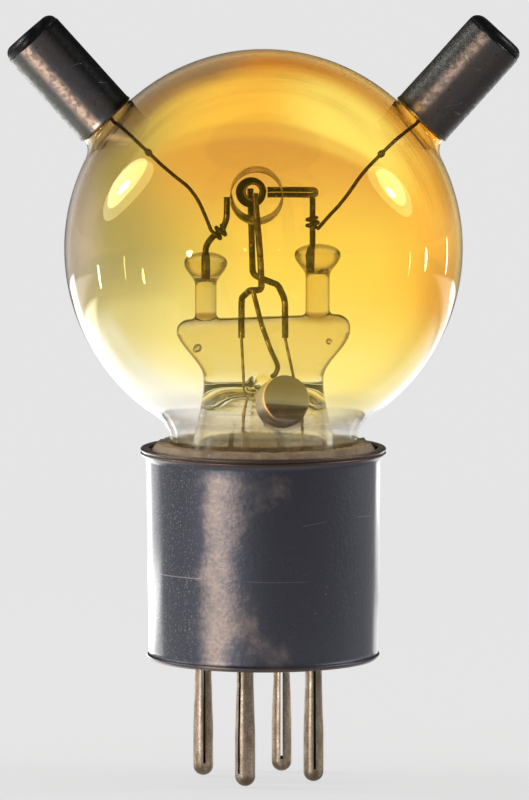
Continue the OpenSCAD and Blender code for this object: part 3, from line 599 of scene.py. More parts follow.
# slitShade marks the slit walls, which get painted shade: black, matte and not metallic
slitShade = 0.0
for name, (pinX, pinY) in pinPlaces.items():
    a = math.radians(pinRings[name][2])
    ways = ((math.cos(a), math.sin(a), 0), pin["slit"] / 2 + 0.02), ((-math.sin(a), math.cos(a), 0), 1.9)
    inSlit = [abs(dot(at, way) - (pinX * way[0] + pinY * way[1]) * mm) < reach * mm for way, reach in ways]
    slitShade = larger(slitShade, inSlit[0] * inSlit[1] * (z > 0.0021))
colour = painted(blend(tone, pinFinish["dark"], pinFinish["light"]), pinFinish, [
    ("grit", masked(patches, at, Scale=3000.0, Low=0.42, High=0.6) * 0.45),
    ("tip", span(z + tone * 0.0008, 0.0026, 0.0012, (0.0, 0.8))),
    ("slit", slitShade),
])
feed(shader, Base_Color=colour, Metallic=1.0 - slitShade,
     Roughness=larger(span(tone, 0.0, 1.0, (0.4, 0.32)), slitShade))
bump(shader, noise(at, 2600.0, 3.0), 0.2, 0.0001)

# Caps: zinc grey with brown stains and short scratches, a worn stripe that is partly a painted highlight, painted
# shade that makes one side nearly black, and sealed at the end

capFinish = {
    "grey": (0.175, 0.168, 0.178, 1),
    "stain": (0.21, 0.17, 0.15, 1),
    "pit": (0.05, 0.045, 0.045, 1),
    "wornAndHighlight": (1.0, 0.70, 0.52, 1),
    "green": (0.085, 0.088, 0.07, 1),
    "black": (0.012, 0.012, 0.012, 1),
    "scratch": (0.55, 0.5, 0.46, 1),
    "seal": (0.006, 0.006, 0.006, 1),
    "wornHighlightAt": 0.0017,  # the worn stripe's distance from the cap's middle line; the stripe is also a painted highlight
    "wornHighlightWidth": 0.0014,
    "sealFrom": 0.05435,  # distance from the crossing of the horns' axes where the black seal starts
}

capMetal, shader, at = newMaterial("capMetal")
x, y, z = xyz(at)
fine = masked(patches, at, Scale=1300.0, Detail=8.0, Low=0.3, High=0.7)
broad = masked(patches, at, Scale=150.0, Detail=5.0, Low=0.4, High=0.7)
a, above = tube["hornAngle"], z - tube["hornZ"] * mm
# a worn stripe runs along each cap, below the middle on the left cap and above it on the right one; it lies where the
# highlight falls, so it is partly wear and partly a painted highlight
across = (abs(x) * -math.cos(a) + above * math.sin(a)) * sums("SIGN", x)  # distance from the cap's middle line
wornAndHighlight = span(abs(across - capFinish["wornHighlightAt"]), capFinish["wornHighlightWidth"], 0.0) * span(y, 0.0, -0.002)
scratch = masked(scratches, stretched(at, (1, 1, 4), (0, 0.6, 0)), Scale=90.0, Width=0.004, Share=0.6)
out = abs(x) * math.sin(a) + above * math.cos(a) + broad * -0.0003
sealed = span(out, capFinish["sealFrom"] - 0.0001, capFinish["sealFrom"])
colour = painted(blend(broad, capFinish["grey"], capFinish["stain"]), capFinish, [
    ("pit", fine * 0.25),
    ("wornAndHighlight", wornAndHighlight * span(fine, 0.2, 0.7, (0.5, 1.0)) * span(x, -0.01, 0.01, (1.0, 0.6))),
    ("green", span(across, 0.0026, 0.0034) * span(x, 0.01, -0.01, (0.65, 0.75))),
    # painted shade: the side of each cap turned from the light is nearly black
    ("black", span(across, -0.0012, -0.0032) * span(x, -0.01, 0.01, (0.97, 0.35))),
    ("pit", masked(specks, at, Scale=1200.0, Size=0.2, Share=0.12) * 0.6),
    ("scratch", scratch * 0.4),
    ("seal", sealed),
])
feed(shader, Base_Color=colour, Metallic=span(sealed, 0.0, 1.0, (0.95, 0.0)),
     Roughness=span(fine, 0.0, 1.0, (0.36, 0.48)) - sealed * 0.15)
bump(shader, fine, 0.15, 0.0001)

# Black seal on the caps, cements, plate and getter sheet

tipSeal, shader, at = newMaterial("tipSeal", Roughness=0.4, Specular_IOR_Level=0.25)
haze = masked(patches, at, Scale=500.0, Low=0.5, High=0.7)
feed(shader, Base_Color=blend(haze, (0.003, 0.003, 0.004, 1), (0.014, 0.012, 0.012, 1)))
bump(shader, noise(at, 420.0), 0.3)


def cementMaterial(name, dark, light, crumb, shadeAtBack=0.0):
    # granular cement: two tones and crumbs, with painted shade on the top at the back where shadeAtBack is not 0
    material, shader, at = newMaterial(name, Roughness=0.85)
    x, y, z = xyz(at)
    colour = blend(masked(patches, at, Scale=450.0, Detail=8.0, Low=0.35, High=0.65), dark, light)
    colour = blend(masked(specks, at, Scale=1400.0, Size=0.3, Share=0.15) * 0.6, colour, crumb)
    # painted shade: the back of the top is darker
    back = span(y, -0.006, 0.003) * span(z, 0.0524, 0.0532) * shadeAtBack
    feed(shader, Base_Color=blend(back, colour, (0.07, 0.065, 0.055, 1)))
    bump(shader, noise(at, 1500.0, 6.0), 0.5, 0.0002)
    return material


baseCement = cementMaterial("baseCement", (0.2, 0.145, 0.1, 1), (0.29, 0.22, 0.16, 1), (0.4, 0.33, 0.26, 1), 0.9)
capCement = cementMaterial("capCement", (0.2, 0.17, 0.12, 1), (0.4, 0.36, 0.28, 1), (0.5, 0.46, 0.38, 1))

baseInsulator, shader, at = newMaterial("baseInsulator", Roughness=0.55)
marble = masked(patches, at, Scale=260.0, Detail=8.0, Low=0.3, High=0.7)
feed(shader, Base_Color=blend(marble, (0.03, 0.02, 0.015, 1), (0.09, 0.06, 0.04, 1)))
bump(shader, marble, 0.15)

getter = {"at": np.array([3.15, -12.8, tube["waistZ"] - 2.2]), "facing": unit(np.array([0.21, -0.917, 0.34])),
          "face": 3.7, "back": 4.1, "depth": 4.0, "sheet": 0.25, "wire": 0.8}
getterFinish = {
    "sheet": (0.20, 0.18, 0.225, 1),
    "pale": (0.33, 0.33, 0.46, 1),
    "dark": (0.10, 0.085, 0.105, 1),
    "side": (0.48, 0.43, 0.43, 1),
    "copper": (0.95, 0.6, 0.42, 1),
    "bandTop": 0.0621,  # the dark band across the face, as Z
    "bandLow": 0.0600,
}

getterSheet, shader, at = newMaterial("getterSheet", Metallic=0.8, Roughness=0.42)
x, y, z = xyz(at)
slant = z + x * 0.08
tone = masked(patches, at, Scale=420.0, Detail=6.0, Low=0.35, High=0.65)
top, low = getterFinish["bandTop"], getterFinish["bandLow"]
colour = painted(blend(span(slant, top + 0.0035, top), getterFinish["sheet"], getterFinish["pale"]), getterFinish, [
    ("dark", span(slant, top + 0.0002, top) * span(slant, low, low + 0.0003)),
    ("sheet", tone * 0.25),
])
# how far along the cup's axis: the side wall lies behind and gets a painted highlight towards its top, and the rounded
# edge between them a painted copper highlight
out = dot(at, tuple(getter["facing"])) - float(getter["at"] @ getter["facing"] + getter["depth"] / 2) * mm
side = blend(span(z, 0.0598, 0.0612), getterFinish["sheet"], getterFinish["side"])
colour = blend(span(out, -0.0002, -0.0004), colour, side)
# painted highlight: a copper-coloured band on the rolled edge at the left
rolledHighlight = span(out, -0.0007, -0.0002) * span(out, -0.00001, -0.00008) * span(x, 0.0025, 0.0008)
feed(shader, Base_Color=blend(rolledHighlight, colour, getterFinish["copper"]))
bump(shader, tone, 0.08, 0.0001)

print("materials made")


# Bulb: one skin of globe, neck and horns, given its wall with Solidify

bulb = {
    "flareTo": 6.5,  # distance from the horn's axis where its flare meets the globe
    "collarRadius": 4.72,
    "hornRadius": 4.1,
    "hornTo": 49.79,
    "spacing": 1.0,
    "patchSteps": 56,
}


def globePoint(direction):  # centre + radius times direction
    return np.array([0, 0, tube["globeZ"]]) + tube["globeRadius"] * direction


def hornSurface(radius, azimuth, axisSide):
    # height along the horn's axis at which a line parallel to it leaves the globe
    side, up, axis = frameOf(hornAxis(axisSide), (0, 1, 0))
    outward = np.cos(azimuth)[..., None] * side + np.sin(azimuth)[..., None] * up
    drop = tube["globeZ"] - tube["hornZ"]
    a, b = -drop * outward[..., 2], -drop * axis[2]
    height = -b + np.sqrt(b**2 - drop**2 - radius**2 - 2 * radius * a + tube["globeRadius"] ** 2)
    return height, outward, axis


# the loop round one half: up the globe's front in the plane x = 0, over the top, down the back and round the neck
fillet = tube["neckFillet"]
filletX = tube["neckRadius"] + fillet
filletZ = tube["globeZ"] - math.sqrt((tube["globeRadius"] + fillet) ** 2 - filletX**2)
neckTurn = math.asin(filletX / (tube["globeRadius"] + fillet))
overTop = int((2 * np.pi - 2 * neckTurn) * tube["globeRadius"] / bulb["spacing"])
roundNeck = int(np.pi * tube["globeRadius"] * math.sin(neckTurn) / bulb["spacing"])
turn = np.linspace(neckTurn, 2 * np.pi - neckTurn, overTop, endpoint=False)
overDirections = np.stack([0 * turn, -np.sin(turn), -np.cos(turn)], -1)
turn = np.linspace(np.pi / 2, -np.pi / 2, roundNeck, endpoint=False)
neckDirections = np.stack([-np.cos(turn) * math.sin(neckTurn), np.sin(turn) * math.sin(neckTurn),
                           0 * turn - math.cos(neckTurn)], -1)
loop = joined(overDirections, neckDirections)


def bulbHalf(axisSide):
    # the globe between horn and loop: great circles, sin((1 - f) a) start + sin(f a) edge over sin a
    edge = loop * [-axisSide, 1, 1]
    side, up, axis = frameOf(hornAxis(axisSide), (0, 1, 0))
    offset = globePoint(edge) - along(axisSide, 0)
    azimuth = np.arctan2(offset @ up, offset @ side)
    height, outward, axis = hornSurface(bulb["flareTo"], azimuth, axisSide)
    ring = along(axisSide, 0) + height[:, None] * axis + bulb["flareTo"] * outward
    start = unit(ring - [0, 0, tube["globeZ"]])
    angle = np.arccos((start * edge).sum(-1))[None, :, None]
    f = np.linspace(0, 1, bulb["patchSteps"])[:, None, None]
    directions = (np.sin((1 - f) * angle) * start + np.sin(f * angle) * edge) / np.sin(angle)
    globe = globePoint(directions)
    # the flare is a quarter ellipse from the globe up to the collar, then come horn and rounded end
    b = np.radians(np.linspace(0, 90, 12))[:, None]
    radius = bulb["flareTo"] - (bulb["flareTo"] - bulb["collarRadius"]) * np.sin(b)
    base, outward, axis = hornSurface(radius, azimuth[None, :], axisSide)
    top = tube["capFrom"] - 0.05
    flare = (base + (top - hornSurface(np.full((1, 1), bulb["collarRadius"]), azimuth[None, :], axisSide)[0])
             * (1 - np.cos(b)))[..., None] * axis + radius[..., None] * outward
    r, end = bulb["hornRadius"], bulb["hornTo"]
    rod = joined(line((r + 0.3, top + 0.5), (r, top + 1.2), (r, end - r)), arc(0, end - r, r, 8, 90, 10))
    rod[-1, 0] = 0
    horn = rod[:, None, 1:] * axis + rod[:, None, :1] * outward[:1]
    skin = joined(horn[::-1], flare[::-1]) + along(axisSide, 0)
    return [skin, globe]


neckRing = joined(neckDirections, neckDirections * [-1, -1, 1])[:, :2] / math.sin(neckTurn)
neckProfile = joined(
    arc(filletX, filletZ, fillet, 180 - math.degrees(math.acos(filletX / (tube["globeRadius"] + fillet))), 180, 12),
    line(*[(tube["neckRadius"], z) for z in np.linspace(filletZ - 0.8, tube["neckZ"] + 0.03, 10)]))
neckProfile[0] = tube["globeRadius"] * math.sin(neckTurn), tube["globeZ"] - tube["globeRadius"] * math.cos(neckTurn)
neck = np.concatenate([neckProfile[:, None, :1] * neckRing,
                       np.repeat(neckProfile[:, None, 1:], len(neckRing), 1)], -1)
envelope = meshObject("bulb", *bulbHalf(-1), *bulbHalf(1), neck)
turnOutward(envelope.data)
applied(envelope, "SOLIDIFY", thickness=tube["wall"], offset=-1, use_even_offset=True)
finishPiece(envelope, bulbGlass, ["glass_envelope"], 60)
print("bulb made:", len(envelope.data.polygons), "faces")


# Glass stem: pressed tube, pillars and exhaust tube, fused into one body of glass

stem = {
    "waistRadius": 9.6,
    "footRadius": 14.04,
    "wall": 1.0,
    "halfWidth": 13.9,
    "halfThickness": 2.5,
    "edge": 2.3,
    "pressFrom": 60.3,
    "pressHeight": 3.3,
    "cavityZ": 61.7,
    "dome": 2.4,
    "exhaustRadius": 2.15,
    "exhaustWall": 0.6,
    "exhaustTop": 62.2,
    "exhaustLength": 29.2,
    "voxel": 0.25,
    # each pillar: place, radius, foot of its bead, bead radius
    "left": (-9.2, 1.75, 79.7, 3.5),
    "right": (8.6, 1.95, 81.0, 3.75),
    "beadHeight": 4.9,
    "port": (0, -3.05, 63.7),  # where the exhaust port leaves the front of the shoulder
    "portRadius": 1.5,
    "portRim": (1.95, 0.42),  # raised ring round the port: its radius and half its thickness
    "bubbles": [((-10.4, -0.9, 69.4), 0.7), ((10.4, -0.8, 70.4), 0.55)],
}


def stemFlare(z):  # waist + (foot - waist) times the height below the top, as a share, to the 1.3
    low, top = tube["neckZ"], tube["waistZ"] - 1.5
    f = np.maximum(0, (top - z) / (top - low)) ** 1.3
    return stem["waistRadius"] + (stem["footRadius"] - stem["waistRadius"]) * f


def stemWidth(z):  # the flare, and above the waist a smooth step out to the half width
    pressed = ease((z - tube["waistZ"]) / (tube["pinchZ"] - tube["waistZ"] - stem["edge"]))
    return np.where(z < tube["waistZ"], stemFlare(z),
                    stem["waistRadius"] + (stem["halfWidth"] - stem["waistRadius"]) * pressed)


def stemDepth(z):  # the flare, and where it is pressed a smooth step in to the half thickness
    pressed = ease((z - stem["pressFrom"]) / stem["pressHeight"])
    return np.where(z < stem["pressFrom"], stemFlare(z),
                    stem["waistRadius"] + (stem["halfThickness"] - stem["waistRadius"]) * pressed)


def stemBody(steps=96):
    # rings at height z: half circles of the half thickness, joined by straight sides out to the half width
    top, wall, dome = tube["pinchZ"], stem["wall"], stem["dome"]
    q = np.radians(np.linspace(90, 0, 14))
    z1 = stem["cavityZ"] - dome + dome * np.sin(q)
    shrink = np.cos(q) ** 0.55
    shrink[0] = 0
    hollow = np.stack([z1, (stemWidth(z1) - wall) * shrink, (stemDepth(z1) - wall) * shrink], -1)
    z2 = np.linspace(stem["cavityZ"] - dome, tube["neckZ"], 24)[1:]
    inner = np.stack([z2, stemFlare(z2) - wall, stemFlare(z2) - wall], -1)
    low = tube["neckZ"]
    foot = line((low - 0.97, 13.1, 13.1), (low - 0.97, 14.9, 14.9), (low - 0.03, 14.9, 14.9))
    z3 = np.linspace(tube["neckZ"], top - stem["edge"], 60)
    outer = np.stack([z3, stemWidth(z3), stemDepth(z3)], -1)
    q = np.radians(np.linspace(0, 90, 12))[1:]
    crown = np.stack([top - stem["edge"] * (1 - np.sin(q)), stem["halfWidth"] - stem["edge"] * (1 - np.cos(q)),
                      stem["halfThickness"] * np.cos(q) ** 0.7], -1)
    rows = joined(hollow, inner, foot, outer, crown)
    z, w, b = rows[:, 0:1], rows[:, 1:2], rows[:, 2:3]
    q = np.linspace(0, 2 * np.pi, steps, endpoint=False) + np.pi / steps
    x = np.sign(np.cos(q)) * (w - b) + b * np.cos(q)
    x[0], b[0] = 0, 0
    # the pinch's top is wavy and higher at the right
    wave = ease((z - top + 5) / 5) * (0.035 * x + 0.16 * np.sin(0.8 * x + 1))
    return np.stack([x, b * np.sin(q), z + wave], -1)


def pillar(place, radius, base, beadRadius, steps=48):
    # straight glass rod that swells into a bead: r goes from rod to bead with sin(90 f)^1.4
    low = 3.2
    f = np.linspace(0, 1, 14)
    swell = np.stack([radius + (beadRadius - radius) * np.sin(np.pi / 2 * f) ** 1.4, base + low * f], -1)
    q = np.linspace(0, np.pi / 2, 12)[1:]
    crown = np.stack([beadRadius * np.cos(q), base + low + (stem["beadHeight"] - low) * np.sin(q)], -1)
    crown[-1, 0] = 0
    start = tube["pinchZ"] - 1.5
    foot = line((0, start), (radius, start), (radius, tube["pinchZ"] - 0.2))
    rod = line(*[(radius, z) for z in np.linspace(tube["pinchZ"] + 0.4, base - 0.3, 8)])
    return lathe(joined(foot, rod, swell, crown), steps, (place, 0, 0))


def exhaust(steps=40):  # a tube closed by a half sphere at its foot
    r, wall = stem["exhaustRadius"], stem["exhaustWall"]
    top = stem["exhaustTop"] + 0.2
    low = stem["exhaustTop"] - stem["exhaustLength"] + r
    outside = joined(arc(0, low, r, -90, 0, 10), line((r, low + 10), (r, top)))
    inside = joined(line((r - wall, top), (r - wall, low + 10)), arc(0, low, r - wall, 0, -90, 10))
    profile = joined(outside, inside)
    profile[[0, -1], 0] = 0
    return lathe(profile, steps)


portStart = np.array([0, 0, stem["exhaustTop"] - 0.2])
portAxis = unit(np.array(stem["port"]) - portStart)
ringRadius, ringHalf = stem["portRim"]
portRing = lathe(arc(ringRadius, 0, ringHalf, 0, 330, 11), 40, stem["port"], portAxis)
stemGlassPiece = meshObject("stemAndPillars", stemBody())
for part in (pillar(*stem["left"]), pillar(*stem["right"]), exhaust(), portRing):
    extra = meshObject("extra", part, closed=part is portRing)
    shared = bmesh.new()
    shared.from_mesh(stemGlassPiece.data)
    shared.from_mesh(extra.data)
    shared.to_mesh(stemGlassPiece.data)
    shared.free()
    bpy.data.objects.remove(extra)
turnOutward(stemGlassPiece.data)
applied(stemGlassPiece, "REMESH", mode="VOXEL", voxel_size=stem["voxel"])
port = lathe(line((0, 0), (stem["portRadius"], 0), (stem["portRadius"], 7), (0, 7)), 40, portStart, portAxis)
bubbles = [lathe(arc(0, 0, size, -90, 90, 12), 24, at) for at, size in stem["bubbles"]]
cutAway(stemGlassPiece, port, *bubbles)
applied(stemGlassPiece, "SMOOTH", factor=0.5, iterations=12)
finishPiece(stemGlassPiece, stemGlass,
            ["stem_glass", "left_pillar", "right_pillar", "exhaust_tube"], 180, outward=False)
print("stem made:", len(stemGlassPiece.data.polygons), "faces")


# Anode: sheet rolled into a cylinder whose ends overlap

anode = {"radius": 4.2, "sheet": 0.15, "length": 15.0, "seamFrom": 190, "seam": 75}


def rolledSheet():
    # one spiral: full turn at the outer radius, then the lap a sheet's thickness further in
    q = np.linspace(0, 360 + anode["seam"], 220)
    inward = anode["sheet"] * ease((q - 345) / 15)
    middle = anode["radius"] - anode["sheet"] / 2 - inward
    angle = np.radians(-(q + anode["seamFrom"] - 360))
    half, t = anode["length"] / 2, anode["sheet"] / 2 * 0.97
    outline = np.array([(-half, t), (0, t), (half, t), (half, -t), (0, -t), (-half, -t)])
    r = middle[:, None] + outline[None, :, 1]
    body = np.stack([tube["anodeX"] + r * np.cos(angle)[:, None], 0 * r + outline[:, 0],
                     tube["anodeZ"] - r * np.sin(angle)[:, None]], -1)
    ends = [np.repeat(body[k].mean(0)[None, None], len(outline), 1) for k in (0, -1)]
    return joined(ends[0], body, ends[1])


wirePiece("anodeCylinder", [rolledSheet()], "anodeSheet", "anode", 30)

# Grid coil, its hairpin arm and post, and the filament

grid = {"rearRadius": 2.25, "frontRadius": 1.25, "wire": 0.5, "pitch": 1.6, "turns": 9, "tilt": math.radians(4.4),
        "yaw": math.radians(2.5), "arm": 0.85, "post": 0.95, "postX": 7.8, "postFrom": 81.6}
rod = {"wire": 1.05, "beyond": 0.7, "filamentEnd": 0.545, "getterAt": 0.945}  # the last two from the rod's middle

# a coil whose radius grows to the rear, tilted up at the front and turned half as far as the filament
q = np.linspace(0, 2 * np.pi * grid["turns"], 9 * 48)
length = grid["pitch"] * grid["turns"]
gridX, gridZ = tube["coreX"] - 0.1, tube["coreZ"] + 0.2
radius = grid["frontRadius"] + (grid["rearRadius"] - grid["frontRadius"]) * q / q[-1]
x0, y0, z0 = radius * np.cos(q), grid["pitch"] * q / (2 * np.pi) - length / 2, -radius * np.sin(q)
c, s = math.cos(grid["tilt"]), math.sin(grid["tilt"])
y1, z1 = c * y0 + s * z0, c * z0 - s * y0
c, s = math.cos(grid["yaw"] / 2), math.sin(grid["yaw"] / 2)
coil = np.stack([gridX + c * x0 - s * y1, s * x0 + c * y1, gridZ + z1], -1)
wirePiece("gridCoil", [sweep(coil, grid["wire"], (-s, c, 0), 10)], "gridWire", "grid")

armY = anode["length"] / 2 + rod["beyond"]
armFrom = gridX - length / 2 * math.tan(grid["yaw"] / 2) + grid["rearRadius"] + grid["wire"] / 2 + 0.12
armRearZ = gridZ - length / 2 * math.sin(grid["tilt"])
armPostZ = armRearZ + 0.5
plan = np.array([(armFrom, length / 2), (armFrom + 0.6, length / 2), (armFrom + 1.4, armY),
                 (tube["anodeX"] + 4.8, armY), (grid["postX"] - 0.6, 0.9), (grid["postX"] + 0.1, 0)])
plan = np.column_stack([plan, armPostZ + (armRearZ - armPostZ) * plan[:, 1] / armY])
armGap = grid["arm"] + 0.05
q = np.radians(np.linspace(75, -75, 9))
turned = np.stack([grid["postX"] + 0.1 + armGap / 2 * np.cos(q), 0 * q, armPostZ + armGap / 2 * np.sin(q)], -1)
upper = rounded(plan + [0, 0, armGap / 2], 0.5)
lower = rounded(plan[::-1] - [0, 0, armGap / 2], 0.5)
arm = evenly(joined(upper, turned, lower), 0.2)
postTop = armPostZ - (armGap + grid["arm"]) / 2 - 0.02
wirePiece("gridArm", [sweep(arm, grid["arm"], (0.12, 0.35, 1), 14, 0.02)], "gridWire", "grid_arm")
post = evenly([(grid["postX"], 0, grid["postFrom"]), (grid["postX"], 0, postTop)], 0.4)
wirePiece("gridPost", [sweep(post, grid["post"], (1, 0, 0), 16, 0.02)], "supportWire", "grid_post")

rodY = anode["length"] / 2 + rod["beyond"] + rod["wire"] / 2
lean = rodY * math.tan(grid["yaw"])
frontTip, rearTip = tube["coreX"] + lean, tube["coreX"] - lean
reach = rodY - rod["filamentEnd"]
wire = evenly([(frontTip, -reach, tube["coreZ"] + 0.4), (rearTip, reach, tube["coreZ"])], 0.4)
wirePiece("filamentWire", [sweep(wire, 0.1, (1, 0, 0), 8)], "tungstenWire", "filament")

# Bent rods and thin wires, each along its way from the CAD source

pinch = tube["pinchZ"]
armX, leftBead = stem["left"][0], stem["left"][2]
studZ, feedTop = pin["studTo"], pinch - 3.56
anodeX, anodeZ, coreZ = tube["anodeX"], tube["anodeZ"], tube["coreZ"]
frontX, frontY = pinPlaces["front"]
rearX, rearY = pinPlaces["rear"]


def getterSeat(a):
    # a point beside the cup's wall, a along its axis from its middle, 15 degrees left of its top
    side, up, axis = frameOf(getter["facing"])
    lean = math.radians(15)
    away = (getter["face"] - getter["back"]) * a / getter["depth"] + (getter["face"] + getter["back"]) / 2
    return getter["at"] + axis * a + (math.cos(lean) * side + math.sin(lean) * up) * (away + getter["wire"] / 2 + 0.04)


wireWays = {
    # name: material, node, diameter, corner radius, reference, points
    "anodeSupport": ("supportWire", "anode_support", 1.0, 0.7, (0, 1, 0), [
        (armX, 0, leftBead + 1), (armX, 0, leftBead + 5.7), (armX + 0.9, 0, leftBead + 7.1),
        (anodeX - 5.4, 0, anodeZ - 5.5), (anodeX - 4.72, 0, anodeZ - 3.6), (anodeX - 4.72, 0, anodeZ - 0.3)]),
    "frontRod": ("rodWire", "front_rod", rod["wire"], 0.9, (0.9, 0.3, 0.1), [
        (-3.5, 0, pinch - 3.5), (-3.5, 0, pinch + 2.8), (-2.5, -rodY / 2, pinch + 4.1),
        (frontTip - 0.7, -rodY, pinch + 4.8), (frontTip + 1.1, -rodY, pinch + 4.8),
        (frontTip + 0.9, -rodY, pinch + 9.6), (frontTip, -rodY, coreZ + 0.6)]),
    "rearRod": ("rodWire", "rear_rod", rod["wire"], 0.9, (0.9, 0.3, 0.1), [
        (3.45, 0, pinch - 3.5), (3.45, 0, pinch + 2.4), (2.35, 1, pinch + 4.8),
        (rearTip + 1.6, rodY - 1.5, pinch + 5.4), (rearTip + 0.4, rodY, pinch + 5.9),
        (rearTip, rodY, coreZ + 0.2)]),
    "leftFeed": ("feedWire", "left_feed", 0.5, 0.8, (1, 0.2, 0), [
        (-3.5, 0, feedTop), (-3.05, 0, tube["waistZ"] - 2.4), (-3.2, 0, tube["rimZ"] + 5),
        (-3.5, -1, tube["neckZ"]), (frontX, frontY, studZ + 7), (frontX, frontY, studZ + 0.02)]),
    "rightFeed": ("feedWire", "right_feed", 0.5, 0.8, (1, 0.2, 0), [
        (3.45, 0, feedTop), (5.35, 0, tube["waistZ"] - 2.4), (6.25, 0, tube["rimZ"] + 4),
        (5.85, 1, tube["neckZ"]), (rearX, rearY, studZ + 7), (rearX, rearY, studZ + 0.02)]),
    "getterWire": ("rodWire", "getter_wire", getter["wire"], 0.8, (1, 0.2, 0.3), [
        (frontTip - 0.3, -rodY - rod["getterAt"], pinch + 4.9), (-0.35, -rodY - 1.5, pinch - 0.3),
        (1.05, -rodY - 2.3, pinch - 4.2), getterSeat(0.9) + [0.4, 0.2, 1.1], getterSeat(0.6), getterSeat(-1.2)]),
}
for name, (material, node, diameter, corner, reference, points) in wireWays.items():
    path = evenly(rounded(points, corner), 0.22)
    wirePiece(name, [sweep(path, diameter, reference, 16, 0.025)], material, node)
print("electrodes made")

# Leads from the horns: down the horn, across the bulb in shallow bows, and wound round the wire they feed

lead = {
    "wire": 0.6,
    "pitch": 0.95,
    "turns": 1.9,
    "gap": 0.1,
    "leftBows": [(0.08, 0.85), (0.21, 1.1), (0.37, 1.34), (0.46, 1.42), (0.59, 1.75), (0.7, 2.2), (0.81, 1.8),
                 (0.91, 0.9)],
    "rightBows": [(0.14, 0.36), (0.24, 0.74), (0.37, 0.87), (0.49, 0.94), (0.57, 0.84), (0.69, 0.36), (0.79, 0.1),
                  (0.87, 0.12)],
}
drop = tube["globeZ"] - tube["hornZ"]
hornFoot = drop * math.cos(tube["hornAngle"]) + math.sqrt(
    tube["globeRadius"] ** 2 - (drop * math.sin(tube["hornAngle"])) ** 2)
low, high = np.array(wireWays["anodeSupport"][5][2:4], float)  # the straight slope that the left lead winds round
slope = unit(high - low)
postAt = np.array([grid["postX"], 0, stem["right"][2] + stem["beadHeight"] + 2.4])
windings = {  # horn: place, axis, a direction square to it, diameter of what is inside
    -1: (low * 0.7 + high * 0.3, slope, unit(np.cross(slope, (0, 1, 0))), 1.0),
    1: (postAt, np.array([0, 0, 1.0]), np.array([1.0, 0, 0]), grid["post"]),
}


def hornLead(axisSide, bows):
    # bows are (share of the way, height off the straight line); the windings are a helix round the core
    at, axis, side, core = windings[axisSide]
    q = np.linspace(0, 2 * np.pi * lead["turns"], 80)[:, None]
    r = (core + lead["wire"]) / 2 + lead["gap"]
    turns = at + axis * lead["pitch"] * q / (2 * np.pi) + r * (np.cos(q) * side + np.sin(q) * np.cross(axis, side))
    start, end = along(axisSide, hornFoot + 1.5), turns[0]
    ahead = unit(end - start)
    up = np.array([axisSide * ahead[2], 0, -axisSide * ahead[0]])
    points = [along(axisSide, tube["capFrom"] + tube["capLength"]), start]
    points += [start + (end - start) * f + up * h for f, h in bows] + [end]
    path = evenly(joined(rounded(points, 1.2)[:-1], turns), 0.12)
    weld = rounded(points, 1.2, 4)[18]  # the middle of the third bow
    bead = lathe(arc(0, 0, lead["wire"] * 0.95, -90, 90, 10) * [1, 1.25], 20, weld, ahead)
    return [sweep(path, lead["wire"], (0.1, 1, 0.05), 12, 0.03, 5), bead]


wirePiece("leftLead", hornLead(-1, lead["leftBows"]), "leadWire", "left_horn_lead", 60)
wirePiece("rightLead", hornLead(1, lead["rightBows"]), "leadWire", "right_horn_lead", 60)

# Getter cup: a shallow cap open at the back, with rounded edges

r1, r2, d, t = getter["face"], getter["back"], getter["depth"] / 2, getter["sheet"]
cup = joined(
    line((0, d), (r1 - 0.35, d)), arc(r1 - 0.3, d - 0.3, 0.3, 90, 10, 5), line((r2, -d), (r2 - t, -d)),
    line((r1 - t - 0.1, d - t), (0, d - t)))
newPiece("getterCap", [lathe(cup, 72, getter["at"], getter["facing"])], getterSheet, ["getter_cup"])
print("leads and getter made")


# Caps and their black ends

cap = {"radius": 5.05, "sheet": 0.35, "corner": 0.3, "roll": 0.3, "tipHeight": 1.48, "tipRadius": 5.08}


def capPieces(axisSide, name):  # a lathed thimble and its lathed end, both a little uneven
    r, t, c, h, roll = cap["radius"], cap["sheet"], cap["corner"], tube["capLength"], cap["roll"]
    outside = joined(
        arc(r - t / 2, roll, roll, 200, 395, 12), line(*[(r, z) for z in np.linspace(roll * 2 + 0.2, h - c, 26)]),
        arc(r - c, h - c, c, 0, 90, 8), line((lead["wire"] / 2, h)))
    inside = line((lead["wire"] / 2, h - t), (r - t, h - t), (r - t, 8), (r - t, 0.7))
    profile = joined(outside, inside)
    shape = lathe(profile, 128, along(axisSide, tube["capFrom"]), hornAxis(axisSide), (0, 1, 0))
    shape = shape + 0.02 * lumps(shape, 4.0, 11 + axisSide)[..., None] * unit(shape - along(axisSide, 46.0))
    newPiece(name + "Cap", [shape], capMetal, [name + "_cap"], 50, True)
    h, r, c = cap["tipHeight"], cap["tipRadius"], cap["tipHeight"] - 0.03
    profile = joined(
        line((0, 0), (r - 0.35, 0), (r - 0.02, -0.33), (r, -0.3)), arc(r - c, h - c, c, 0, 90, 14), line((0, h)))
    end = tube["capFrom"] + tube["capLength"]
    shape = lathe(profile, 96, along(axisSide, end + 0.02), hornAxis(axisSide), (0, 1, 0))
    shrink = 1 - 0.03 * (1 + lumps(shape, 2.2, 21 + axisSide))[..., None] * (profile[:, 0] > 1)[:, None, None]
    middle = along(axisSide, end)
    shape = middle + (shape - middle) * shrink
    newPiece(name + "Tip", [shape], tipSeal, [name + "_tip"], 70)


capPieces(-1, "left")
capPieces(1, "right")

# Base shell: tapered wall, double rolled rim, bead and lip at the foot

